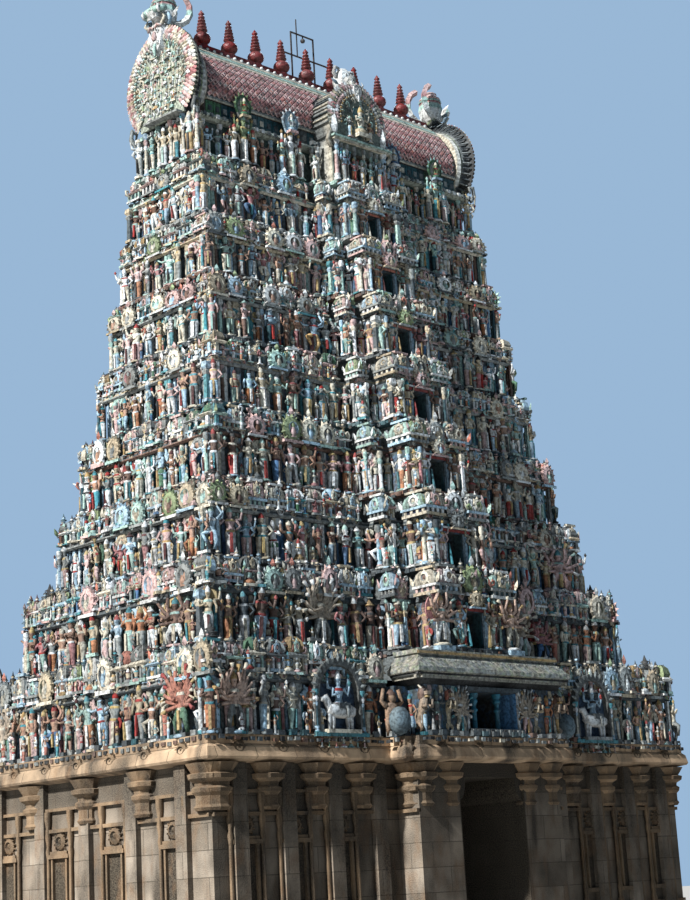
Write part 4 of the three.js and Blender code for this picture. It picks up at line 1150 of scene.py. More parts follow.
def taken(k, run, along):
    x, y = run.spot(along, 0, 0)[:2, 3]
    for storey, keptX, keptY, half in kept:
        for side in (-1, 1):
            if storey == k and abs(x - side * keptX) < half and abs(y - side * keptY) < half:
                return True
    return False


# The first storey's bay is the balcony and its canopy
def behindCanopy(k, run):
    return k == 1 and run.kind in ("bay", "shoulder", "return")


def addMainRow(k):
    rng = seededFor("main", k)
    crowd, order = Carving(), Carving()
    level, zone = ledgeLevel(k), wallZone(k)
    kinds = list(figures.values())
    for run in runsOf(ledgePlan(k)):
        if run.length < 0.4 or behindCanopy(k, run):
            continue
        middle = run.length / 2
        gap = doorHalf(k) + mainRow["doorRoom"] if run.kind == "bay" else 0.0
        wallOut = -shelfDepth(k) if run.kind != "bay" else -batter["bayLedge"]
        margin = 0.3 if run.kind == "end" else 0.08
        spots = run.spots(mainRow["narrowPitch" if run.kind in ("return", "shoulder") else "pitch"], margin)
        step = (run.length - 2 * margin) / len(spots)
        for along in spots:
            if abs(along - middle) < gap or taken(k, run, along) or atCorner(k, run, along):
                continue
            height = zone * rng.uniform(0.86, 1.16)
            girth = height * rng.uniform(0.98, 1.16) * (1.0 if k == 1 else 1.13)
            inset = mainRow["inset"] + (0.12 if k == 1 else 0.0)
            place = run.spot(along + rng.uniform(-0.09, 0.09), -inset + rng.uniform(-0.06, 0.06), level,
                             (girth, girth, height), rng.uniform(-0.5, 0.5), rng.uniform(-0.07, 0.07))
            wheeled = 1 < k < 4 and rng.random() < mainRow["wheelShare"]
            crowd.put(eightArmed if wheeled else rng.choice(kinds), place, dressed(rng, k < 3))
            if rng.random() < mainRow["archShare"]:
                size = rng.uniform(0.8, 1.1)
                up = level + zone * rng.uniform(0.42, 0.6)
                place = run.spot(along, -mainRow["inset"] - 0.16, up, (size, 0.5, size * 1.05))
                order.put(shapes["kudu"], place, masonry(rng))
            if rng.random() < mainRow["childShare"]:
                size = zone * rng.uniform(0.3, 0.5) * 1.15
                beside = along + step / 2 + rng.uniform(-0.1, 0.1)
                place = run.spot(beside, -0.14, level, size, rng.uniform(-0.4, 0.4))
                crowd.put(rng.choice(littleOnes), place, dressed(rng))
        for index in range(len(spots) + 1):
            along = margin + step * index
            if abs(along - middle) < gap - 0.2 or (margin > 0.2 and index in (0, len(spots))):
                continue
            if taken(k, run, along):
                continue
            width = mainRow["pilasterWidth"] * rng.uniform(0.7, 1.4)
            shape = shapes[rng.choice(["round", "round", "square"])]
            order.put(shape, run.spot(along, wallOut + 0.04, level, (width, width, zone)), masonry(rng))
            if rng.random() < mainRow["scrollShare"]:
                size = rng.uniform(0.3, 0.5)
                across = along + rng.uniform(-0.1, 0.1)
                up = level + zone * rng.uniform(0.62, 0.8)
                place = run.spot(across, wallOut + 0.22, up, size, lean=rng.uniform(-0.6, 0.6))
                order.put(shapes[rng.choice(["leaf", "curl"])], place, masonry(rng))
        for along in run.spots(mainRow["postPitch"], 0.1):  # slim painted posts against the wall
            if abs(along - middle) > gap - 0.1 and not taken(k, run, along):
                size = (rng.uniform(0.1, 0.2), 0.16, zone)
                order.block(run.spot(along, wallOut + 0.02, level, size), shade(rng, "shafts"))
        if run.kind == "bay" and k > 1:
            for side in (-1, 1):
                size = (zone * side * -1.1, zone * 1.1, zone * 1.02)
                place = run.spot(middle + side * (doorHalf(k) + 0.5), -0.2, level, size)
                crowd.put(guardian, place, dressed(rng))
    for sx, sy, turn in quarters:
        place = shifted(sx * (halfLength(k) - 0.3), sy * (halfWidth(k) - 0.3), level, zone * 1.08, turn)
        crowd.put(rng.choice(kinds), place, dressed(rng))
        for half, out in ((shoulderHalf(k), halfWidth(k)), (bayHalf(k), shoulderOut(k))) if k > 1 else ():
            tall = zone * rng.uniform(0.95, 1.1)
            place = shifted(sx * (half - 0.12), sy * (out - 0.2), level, tall, turn)
            crowd.put(rng.choice(kinds), place, dressed(rng))
            # Painted shade: the square pilaster in each inner corner is painted slate and grey, darker, as
            # the shade there
            place = shifted(sx * (half - 0.42), sy * (out - 0.42), level, (0.5, 0.3, zone), turn)
            order.put(shapes["square"], place, masonry(rng, shaft="slate", cap="grey"))
    crowd.build(f"storey_{k}_figures", "figures", "shrine_paint")
    order.build(f"storey_{k}_pilasters", "trim", "wall_paint")


# Eave moulding with horseshoe bosses, and the parapet of small shrines, figures and finials on it
parapet = {
    "pitch": 1.2, "smallPitch": 0.56, "capPitch": 0.6, "kuduPitch": 0.8, "scrollPitch": 0.36,
    "flutedPitch": 1.3, "depth": 0.42, "corner": 1.5, "cornerLoss": 0.06,
}
lowCorner = {"roof": "grey", "rib": "grey", "base": "turquoise", "light": "white", "pot": "dark"}


def addEave(k, rng, work, bottom, foot, edge):
    lip = Shape().moulding(lambda inset: ledgePlan(k, inset, True), [
        (bottom - 0.03, 0.62, "under"), (bottom - 0.03, edge + 0.1, "line"), (bottom + 0.06, edge, "line"),
        (bottom + 0.13, edge + 0.02, "face"), (foot - 0.06, edge + 0.08, "line"),
        (foot + 0.02, edge + 0.1, "top"), (foot + 0.02, 0.62, None),
    ])
    dull = "lips" if k < batter["storeys"] else "topLips"
    lines = {"line": pick(rng, dull), "face": pick(rng, dull)}
    # Painted shade: the eave's underside is painted dark
    work.put(lip, np.eye(4), {"under": "dark", "top": "slate"} | lines)


def addShrines(rng, work, run, front, foot, room, edge):
    for along in run.spots(parapet["pitch"], 0.05):
        kind = rng.choice(["sala", "sala", "kuta", "plaque", "fluted", "plaque"])
        tall = room * rng.uniform(1.0, 1.4)
        width = rng.uniform(0.92, 1.14)
        up = foot + rng.uniform(-0.06, 0.14)
        if kind == "plaque":
            size = (width * 1.2, 1.0, tall)
            place = run.spot(along, -edge + 0.06, foot - rng.uniform(0.1, 0.3), size)
        elif kind == "fluted":
            place = run.spot(along, -front - 0.12, up, (width, 1.0, tall))
        else:
            place = run.spot(along, -front - 0.28, up, (width, 0.9, tall))
        work.put(shapes[kind], place, blocky(rng) if kind == "fluted" else masonry(rng))


def addBayShrines(rng, work, run, foot, room):
    for along in run.spots(parapet["scrollPitch"], 0.05):
        kind = shapes[rng.choice(["leaf", "curl", "curl"])]
        up = foot + room * rng.uniform(0.0, 0.9)
        size = rng.uniform(0.36, 0.56)
        work.put(kind, run.spot(along, -0.1, up, size, lean=rng.uniform(-0.9, 0.9)), masonry(rng))
    size = (min(1.5, run.length * 0.32), 1.2, room * 1.25)
    for share, kind, out in ((0.16, "fluted", -0.36), (0.5, "plaque", -0.3), (0.84, "fluted", -0.36)):
        work.put(shapes[kind], run.spot(run.length * share, out, foot - 0.04, size), blocky(rng))


def addParapet(k):
    rng = seededFor("parapet", k)
    crowd, work = Carving(), Carving()
    bottom = ledgeLevel(k) + wallZone(k)
    foot = bottom + batter["eaveHeight"]
    room = ledgeLevel(k + 1) - batter["slab"] - foot
    edge = 0.55 * shelfDepth(k) - 0.04
    addEave(k, rng, work, bottom, foot, edge)
    for run in runsOf(ledgePlan(k, 0, True)):
        if run.length < 0.45 or behindCanopy(k, run):
            continue
        halfOf = halfLength if run.kind == "end" else halfWidth
        front = min(parapet["depth"], halfOf(k) - halfOf(k + 1))
        for along in run.spots(parapet["kuduPitch"], 0.1):
            place = run.spot(along, -edge - 0.05, bottom + 0.03, 0.4 * rng.uniform(0.8, 1.15))
            work.put(shapes["kudu"], place, masonry(rng))
        if run.kind == "return":
            spots = run.spots(parapet["flutedPitch"])
            size = (run.length / len(spots) * 0.96, 0.9, room * 1.18)
            for along in spots:
                work.put(shapes["fluted"], run.spot(along, -0.2, foot - 0.04, size), blocky(rng))
        elif run.kind == "bay":
            addBayShrines(rng, work, run, foot, room)
        else:
            addShrines(rng, work, run, front, foot, room, edge)
        for along in run.spots(parapet["smallPitch"], 0.08):
            tall = room * rng.uniform(0.6, 0.92)
            wide = tall * rng.uniform(1.0, 1.25)
            across, out = along + rng.uniform(-0.08, 0.08), -edge + rng.uniform(-0.06, 0.04)
            place = run.spot(across, out, foot, (wide, wide, tall), rng.uniform(-0.4, 0.4))
            crowd.put(rng.choice(littleOnes), place, dressed(rng))
        for along in run.spots(parapet["capPitch"], 0.15):
            tall = room * rng.uniform(0.42, 0.62)
            across, up = along + rng.uniform(-0.1, 0.1), foot + room * rng.uniform(0.7, 0.92)
            work.put(shapes["cap"], run.spot(across, -front - 0.06, up, (0.46, 0.46, tall)), masonry(rng))
            kind = shapes[rng.choice(["leaf", "curl", "leaf"])]
            up, size = foot + room * rng.uniform(0.3, 0.8), rng.uniform(0.3, 0.5)
            place = run.spot(along + 0.3, -front + 0.06, up, size, lean=rng.uniform(-0.6, 0.6))
            work.put(kind, place, masonry(rng))
    width = parapet["corner"] - parapet["cornerLoss"] * (k - 1)
    x, y = (half - parapet["depth"] - width / 2 for half in (halfLength(k), halfWidth(k)))
    size = (width, width, room * (1.12 if k < 4 else 0.98))
    for sx, sy, _ in quarters:
        colours = masonry(rng, **(lowCorner if k < 4 else {}))
        work.put(shapes["corner"], shifted(sx * x, sy * y, foot, size), colours)
    crowd.build(f"storey_{k}_small_figures", "figures", "shrine_paint")
    work.build(f"storey_{k}_parapet", "trim", "shrine_paint")


# Blocks along the ledge's edge, and on the lowest ledge a row of them that stands on it
def addLedgeTrim(k):
    rng = seededFor("trim", k)
    work = Carving()
    level = ledgeLevel(k)
    for run in runsOf(ledgePlan(k)):
        for index, along in enumerate(run.spots(0.42)):
            # Under the ledge the blocks are grey, slate, brown and cream paint, and mostly near black as
            # painted shade of the gap beneath it
            colour = ledgeColours[k - 1] if index % 3 == 1 and k > 1 else shade(rng, "edgeBlocks")
            size = (rng.uniform(0.16, 0.3), 0.14, rng.uniform(0.12, 0.2))
            work.block(run.spot(along, -0.02, level - rng.uniform(0.2, 0.3), size), colour)
    for run in runsOf(ledgePlan(1)) if k == 1 else ():
        for along in run.spots(0.7, 0.1):
            size = (0.36, 0.3, rng.uniform(0.16, 0.26))
            work.block(run.spot(along, -0.16, level, size), shade(rng, "cornicePlants"))
    work.build(f"ledge_{k}_trim", "trim", "ledge_paint")


for k in range(1, batter["storeys"] + 1):
    addMainRow(k)
    addParapet(k)
for k in range(1, batter["storeys"] + 2):
    addLedgeTrim(k)
print("storeys carved:", counted["triangles"])


# Plain stamps for the crown and the special pieces
def tileShape():
    outer = [(0.5, 0, 0), (0, 0, 0.5), (-0.5, 0, 0), (0, 0, -0.5)]
    inner = [(x * 0.56, -0.16, z * 0.56) for x, _, z in outer]
    sides = [(index, (index + 1) % 4, 4 + (index + 1) % 4, 4 + index) for index in range(4)]
    return Shape().put(outer + inner, sides + [(4, 5, 6, 7)], ["rim"] * 4 + ["field"])


def beadShape():
    angles = np.linspace(0, math.pi, 5)
    return turned([(-0.5 * math.cos(a), max(0.01, 0.5 * math.sin(a))) for a in angles], 6, "light")


def featherShape():
    points = [(-0.2, 0, 0), (0.2, 0, 0), (0.36, -0.1, 0.55), (0.24, -0.06, 0.9), (0, -0.02, 1.05),
              (-0.24, -0.06, 0.9), (-0.36, -0.1, 0.55), (0, -0.26, 0.45), (0, -0.2, 0.05)]
    return Shape().put(points, [(0, 8, 7, 6), (8, 1, 2, 7), (7, 2, 3, 4), (6, 7, 4, 5)], "leaf")


def columnShape():
    return turned([
        (0, 0.5, "base"), (0.05, 0.5, "cap"), (0.08, 0.34, "cap"), (0.16, 0.42, "shaft"), (0.2, 0.3, "shaft"),
        (0.62, 0.26, "cap"), (0.68, 0.4, "cap"), (0.72, 0.26, "light"), (0.8, 0.46, "light"),
        (0.86, 0.3, "base"), (0.93, 0.52, "base"), (1.0, 0.52, "base"),
    ], 8)


# A pair of round eyes, each a ball with a smaller one before it
def addEyes(shape, y, z, size):
    balls = ((0.16, 0.15, 0.08, 0.0, 6, "light"), (0.07, 0.07, 0.05, -0.07, 5, "deep"))
    for side in (-1, 1):
        for tall, wide, deep, out, sides, role in balls:
            at = (side * 0.3 * size, y + out * size)
            rings = [(z - tall * size, 0.02, 0.02, *at), (z, wide * size, deep * size, *at),
                     (z + tall * size, 0.02, 0.02, *at)]
            shape.loft(rings, sides, role, caps=(False, False))
    return shape


# Lion mask with round eyes, brows, a row of teeth and a hanging tongue; one unit to half its width
def maskShape():
    outline = [(0, -1.0), (0.36, -0.6), (0.56, 0), (0.5, 0.5), (0.2, 0.72), (-0.2, 0.72), (-0.5, 0.5),
               (-0.56, 0), (-0.36, -0.6)]
    shape = Shape().plate(outline, -0.16, 0.1, "face", inset=0.16)
    addEyes(shape, -0.2, 0.22, 0.7)
    for side in (-1, 1):
        brow = [(side * 0.04, -0.2, 0.4), (side * 0.26, -0.24, 0.5), (side * 0.5, -0.18, 0.36)]
        horn = [(side * 0.44, -0.1, 0.5), (side * 0.72, -0.14, 0.74), (side * 0.5, -0.14, 1.0)]
        shape.tube(brow, [0.05, 0.07, 0.03], 4, "trim")
        shape.tube(horn, [0.1, 0.08, 0.02], 5, "leaf")
    snout = [(-0.22, 0.12, 0.08, 0, -0.2), (-0.05, 0.15, 0.14, 0, -0.22), (0.22, 0.05, 0.06, 0, -0.2)]
    shape.loft(snout, 6, "trim")
    for x in np.linspace(-0.24, 0.24, 6):
        shape.box(x - 0.03, x + 0.03, -0.24, -0.14, -0.4, -0.28, "light", open="back")
    tongue = [(-1.0, 0.06, 0.04, 0, -0.2), (-0.7, 0.13, 0.06, 0, -0.26), (-0.36, 0.1, 0.05, 0, -0.2)]
    return shape.loft(tongue, 5, "tongue")


# Ribbed hood, pointed at the top, with a row of leaves on it
def hoodShape():
    half = 0.5
    outline = [(-0.3, 0), (0.3, 0)]
    for angle in np.linspace(-0.7, math.pi + 0.7, 11):
        rise = 0.54 if abs(math.cos(angle)) < 0.1 else 0.48
        outline.append((half * math.cos(angle), 0.5 + rise * math.sin(angle)))
    shape = Shape().plate(outline, -0.06, 0.04, "field", inset=0.04)
    shape.band(outline[2:], [(x * 0.8, 0.1 + (z - 0.1) * 0.86) for x, z in outline[2:]], -0.11, 0.04, "rim")
    for angle in np.linspace(0.1, math.pi - 0.1, 7):
        x, z = half * 0.86 * math.cos(angle), 0.5 + 0.42 * math.sin(angle)
        shape.include(leafShape(), shifted(x, -0.08, z, (0.3, 0.3, 0.24), lean=math.pi / 2 - angle))
    return shape


stamps = {
    "tile": tileShape(), "bead": beadShape(), "feather": featherShape(), "column": columnShape(),
    "mask": maskShape(), "hood": hoodShape(),
}

# The roof's swell, as in its solid: corners of the curve, out from the middle and up from the top cornice
swell = [(2.25, 3.4), (2.75, 4.7), (1.6, 6.0), (0.36, 7.15)]
roofWork = {
    "tile": 0.33, "top": 6.15, "half": 9.2, "samples": 80, "lift": 0.012, "beadPitch": 0.47, "bead": 0.2,
    "friezeOut": 2.1, "friezePitch": 0.5,
}
# Strips between the tiles and the ridge: how far up each starts, then its paint
ridgeStrips = (
    (-0.02, "cream"), (0.2, "green"), (0.26, "mint"), (0.55, "green"), (0.61, "cream"), (0.8, "grey"),
)


def swellPoint(t):
    weights = ((1 - t) ** 3, 3 * t * (1 - t) ** 2, 3 * t * t * (1 - t), t ** 3)
    return np.array([sum(weight * corner[axis] for weight, corner in zip(weights, swell)) for axis in (0, 1)])


swellPath = [swellPoint(index / roofWork["samples"]) for index in range(roofWork["samples"] + 1)]
swellReach = np.concatenate([[0], np.cumsum([math.dist(a, b) for a, b in zip(swellPath, swellPath[1:])])])


def swellAt(reach):
    return np.array([np.interp(reach, swellReach, [point[axis] for point in swellPath]) for axis in (0, 1)])


# A place on the roof's swell: the stamp's Z climbs the slope and its -Y faces out
def onSwell(x, reach, side, size=1.0, lift=0.0):
    here, ahead = swellAt(reach), swellAt(reach + 0.05) - swellAt(reach - 0.05)
    ahead /= np.linalg.norm(ahead)
    outward, up = np.array((0, -side, 0.0)), np.array((0, 0, 1.0))
    climb = ahead[0] * outward + ahead[1] * up
    normal = ahead[1] * outward - ahead[0] * up
    place = np.eye(4)
    for axis, (way, share) in enumerate(zip((np.cross(-normal, climb), -normal, climb), asTriple(size))):
        place[:3, axis] = way * share
    place[:3, 3] = outward * here[0] + up * (crownLevel + here[1]) + normal * lift
    place[0, 3] += x
    return place


def underDormer(x, z):
    if z < dormerArch["centre"]:
        return abs(x) < dormerArch["radius"] + 0.08
    return math.hypot(x, (z - dormerArch["centre"]) * 0.94) < dormerArch["radius"] + 0.05


def addTiles(rng, work, side, lastReach):
    tile, half = roofWork["tile"], roofWork["half"]
    for row in range(int(lastReach / (tile / 2))):
        reach = tile / 2 * (row + 1)
        z = swellAt(reach)[1]
        for column in range(int(2 * half / tile)):
            x = -half + tile * (column + (1.0 if row % 2 else 0.5))
            if abs(x) > half - 0.1 or underDormer(x, z):
                continue
            rim = tinted(rng, "rose" if (row // 2) % 2 else "pink", 0.12)
            colours = {"rim": rim, "field": shade(rng, "tiles", 0.15)}
            work.put(stamps["tile"], onSwell(x, reach, side, tile * 0.96, roofWork["lift"]), colours)


def addRidgeStrips(work, side, lastReach):
    strips = Shape()
    half = roofWork["half"]
    shares = [share for share, _ in ridgeStrips] + [1.0]
    levels = [lastReach + share * (swellReach[-1] - lastReach) for share in shares]
    for low, high, (_, name) in zip(levels, levels[1:], ridgeStrips):
        proud = 0.03 if name == "green" else 0.07
        section = ((low, 0.0), (low, proud), (high, proud), (high, 0.0))
        spots = [onSwell(0, reach, side, lift=lift)[:3, 3] for reach, lift in section]
        points = [(x, spot[1], spot[2]) for x in (-half, half) for spot in spots]
        faces = [(0, 4, 5, 1), (1, 5, 6, 2), (2, 6, 7, 3)]
        strips.put(points, [face[::-1] for face in faces] if side < 0 else faces, name)
    colours = {name: name for _, name in ridgeStrips} | {"green": (0.42, 0.52, 0.40)}
    work.put(strips, np.eye(4), colours)


def addRoof():
    rng = seededFor("roof")
    work = Carving()
    half, pitch = roofWork["half"], roofWork["beadPitch"]
    lastReach = np.interp(roofWork["top"], [point[1] for point in swellPath], swellReach)
    for side in (-1, 1):
        addTiles(rng, work, side, lastReach)
        addRidgeStrips(work, side, lastReach)
        for index in range(int(2 * half / pitch)):
            place = onSwell(-half + pitch * (index + 0.5), swellReach[-1] - 0.1, side, roofWork["bead"], 0.1)
            work.put(stamps["bead"], place, {"light": "white"})
        run = frontRun(roofWork["friezeOut"], half, side)
        for along in run.spots(roofWork["friezePitch"]):
            if abs(along - run.length / 2) < dormerArch["radius"]:
                continue
            work.block(run.spot(along, 0.03, crownLevel + 2.44, (0.46, 0.1, 0.76)), shade(rng, "frieze"))
            work.block(run.spot(along, 0.08, crownLevel + 2.66, (0.22, 0.08, 0.3)), pick(rng, "friezeBosses"))
        work.block(run.spot(half, 0.1, crownLevel + 3.22, (2 * half, 0.22, 0.1)), "cream")
        work.block(run.spot(half, 0.13, crownLevel + 3.32, (2 * half, 0.2, 0.08)), "grey")
    work.build("roof_tiles", "trim", "roof_tile")


# A place round an arch, pointing away from its middle; the arch rises a little at its apex
def archSpot(run, arch, reach, angle, out, size=1.0):
    lift = 1 + 0.06 * max(0.0, math.sin(angle)) ** 6
    up = crownLevel + arch["centre"] + reach * math.sin(angle) * lift
    return run.spot(run.length / 2 + reach * math.cos(angle), out, up, size, lean=math.pi / 2 - angle)


# Stamps in a ring round an arch, that starts and ends past its middle's level by an angle
def addRing(work, shape, run, arch, radius, size, pitch, out, past, colourOf):
    low, high = -past, math.pi + past
    count = max(1, round((high - low) * radius / pitch))
    for index in range(count):
        angle = low + (high - low) * (index + 0.5) / count
        work.put(shape, archSpot(run, arch, radius, angle, out, size), colourOf(index))


# Ribs across the drawn-in side of an arch; ends are each a reach and how far out
def addRibs(rng, work, run, arch, count, past, ends, radius, closed, names):
    for index in range(count):
        angle = -past + (math.pi + 2 * past) * index / (count - 1)
        path = [tuple(archSpot(run, arch, reach, angle, out)[:3, 3]) for reach, out in ends]
        rib = Shape().tube(path, [radius, radius], 4, "rib", caps=(closed, closed))
        work.put(rib, np.eye(4), {"rib": tinted(rng, names[index % len(names)])})


# Scrolls, leaves and little figures that fill the face of an arch
encrusting = {"pitch": 0.31, "climb": 1.15, "figureShare": 0.5, "spread": 0.14}


def encrust(rng, work, crowd, run, arch, reach, foot, out, palette):
    pitch = encrusting["pitch"]

    def stained():
        return shade(rng, palette, encrusting["spread"])

    z = foot
    while z < arch["centre"] + reach - 0.2:
        half = math.sqrt(max(0.01, reach ** 2 - (z + 0.2 - arch["centre"]) ** 2))
        half = min(half, reach * 0.8) if z < arch["centre"] - reach * 0.6 else half
        count = max(1, round(2 * half / pitch))
        for index in range(count):
            along = run.length / 2 - half + 2 * half * (index + 0.5) / count + rng.uniform(-0.06, 0.06)
            up = crownLevel + z + rng.uniform(-0.08, 0.08)
            if rng.random() < encrusting["figureShare"]:
                size = pitch * rng.uniform(1.6, 2.3)
                kind = rng.choice(littleOnes)
                robes = dressed(rng) | {"skin": stained(), "cloth": stained(), "base": stained()}
                crowd.put(kind, run.spot(along, out + 0.03, up, size, rng.uniform(-0.3, 0.3)), robes)
            else:
                kind = shapes[rng.choice(["curl", "curl", "leaf"])]
                size = pitch * rng.uniform(1.0, 1.5)
                colours = masonry(rng) | {"leaf": stained(), "rim": stained()}
                work.put(kind, run.spot(along, out + 0.02, up, size, lean=rng.uniform(-1.2, 1.2)), colours)
        z += pitch * encrusting["climb"]


# Rings of feathers and beads round the gables and dormers: radius, size, pitch and how far out
gableWork = {
    "feathers": ((2.56, (0.34, 0.5, 0.4), 0.2, -0.02), (2.38, (0.34, 0.5, 0.42), 0.2, 0.03),
                 (2.18, (0.32, 0.5, 0.4), 0.2, 0.07)),
    "past": 0.82, "beads": (2.16, 0.17, 0.17, 0.06), "leaves": (1.86, (0.3, 0.6, 0.36), 0.26, 0.04),
    "ribs": 40, "ribPast": 0.7, "ribEnds": ((2.58, -0.68), (2.88, -0.26)), "rib": 0.05, "head": 8.6,
    "mask": {"face": "white", "light": "white", "deep": "dark", "trim": "pink", "leaf": "cream",
             "tongue": "mint"},
}
dormerWork = {
    "feathers": ((1.76, (0.36, 0.45, 0.42), 0.19, 0.02), (1.58, (0.36, 0.45, 0.42), 0.19, 0.08),
                 (1.4, (0.34, 0.4, 0.36), 0.19, 0.12)),
    "past": 0.35, "beads": (1.34, 0.13, 0.14, 0.16), "ribs": 26, "ribPast": 0.2, "rib": 0.06, "head": 6.55,
    "mask": {"face": "white", "light": "white", "deep": "dark", "trim": "grey", "leaf": "white",
             "tongue": "white"},
}
eyes = addEyes(Shape(), 0, 0, 1.0)
eyePaint = {"light": "white", "deep": "dark"}


def addFeathers(rng, work, run, arch, made, second):
    for ring in made["feathers"]:
        addRing(work, stamps["feather"], run, arch, *ring, made["past"],
                lambda index: {"leaf": shade(rng, "feathers", 0.14)})
    addRing(work, stamps["bead"], run, arch, *made["beads"], made["past"],
            lambda index: {"light": "cream" if index % 2 else second})


# Brow band, snout rings, ears, eyes and teeth of the head above a gable's apex
def addGableHead(work, side):
    run = endRun(10.0, 1.2, side)
    middle, level = 1.2, crownLevel + gableWork["head"]
    brow = [(-0.85, -0.52, 0), (-0.4, -0.82, 0.04), (0.4, -0.82, 0.04), (0.85, -0.52, 0)]
    band = Shape().tube(brow, [0.14, 0.2, 0.2, 0.14], 7, "band", (True, True))
    for x in (-0.62, -0.2, 0.22, 0.64):
        knob = [(-0.22, 0.07, 0.07, x, -0.85), (0.0, 0.1, 0.1, x, -0.92), (0.22, 0.07, 0.07, x, -0.85)]
        band.loft(knob, 6, "light", caps=(True, True))
    work.put(band, run.spot(middle, 0, level - 0.1), {"band": "mint", "light": "white"})
    for up, radius in ((0.45, 0.66), (0.62, 0.6), (0.95, 0.4)):
        collar = turned([(0, radius), (0.06, radius + 0.05), (0.12, radius)], 10, "band")
        work.put(collar, run.spot(middle, 0, level + up), {"band": "mint" if up < 0.6 else "pink"})
    for turn in (-1, 1):
        ear = run.spot(middle + turn * 0.75, 0.1, level - 0.5, (0.6, 0.8, 0.8), lean=turn * 1.0)
        work.put(shapes["leaf"], ear, {"leaf": "white"})
        cheek = run.spot(middle + turn * 0.7, 0.3, level - 0.9, (0.7 * turn, 0.8, 0.8))
        work.put(shapes["curl"], cheek, {"leaf": "sky"})
    work.put(eyes, run.spot(middle, 0.66, level + 0.28, 0.8), eyePaint)
    for x in np.linspace(-0.34, 0.34, 7):
        work.block(run.spot(middle + x, 0.78, level - 0.5, (0.07, 0.1, 0.16)), "white")


def addGable(side):
    name = "left" if side < 0 else "right"
    rng = seededFor("gable", name)
    work, crowd = Carving(), Carving()
    run = endRun(gableArch["outer"], 3.0, side)
    addFeathers(rng, work, run, gableArch, gableWork, "mint")
    addRing(work, shapes["leaf"], run, gableArch, *gableWork["leaves"], gableWork["past"],
            lambda index: {"leaf": shade(rng, "encrusted", 0.14)})
    encrust(rng, work, crowd, run, gableArch, 1.92, 2.5, 0.0, "encrusted")
    addRibs(rng, work, run, gableArch, gableWork["ribs"], gableWork["ribPast"], gableWork["ribEnds"],
            gableWork["rib"], False, ("grey", "slate"))
    work.put(stamps["mask"], run.spot(run.length / 2, 0.1, crownLevel + 7.15, 1.15), gableWork["mask"])
    addGableHead(work, side)
    work.build(f"gable_{name}_carving", "trim", "gable_plaster")
    crowd.build(f"gable_{name}_figures", "figures", "gable_plaster")


# Curls, ears, eyes and snout of the head above a dormer's apex
def addDormerHead(work, side):
    run = frontRun(2.85, 1.0, side)
    level = crownLevel + dormerWork["head"]
    for turn in (-1, 1):
        curl = run.spot(1.0 + turn * 0.5, 0.05, level + 0.1, (0.7 * turn, 0.8, 0.8))
        work.put(shapes["curl"], curl, {"leaf": "white"})
        ear = run.spot(1.0 + turn * 0.52, 0.2, level - 0.35, (0.5, 0.7, 0.6), lean=turn * 1.2)
        work.put(shapes["leaf"], ear, {"leaf": "sky"})
    work.put(eyes, run.spot(1.0, 0.5, level + 0.2, 0.62), eyePaint)
    rings = [(-0.3, 0.2, 0.12, 0, -0.72), (-0.1, 0.26, 0.2, 0, -0.78), (0.08, 0.12, 0.1, 0, -0.7)]
    snout = Shape().loft(rings, 8, "face")
    for x in np.linspace(-0.2, 0.2, 5):
        snout.box(x - 0.03, x + 0.03, -0.86, -0.7, -0.4, -0.28, "light", open="back")
    work.put(snout, run.spot(1.0, 0, level), {"face": "grey", "light": "white"})


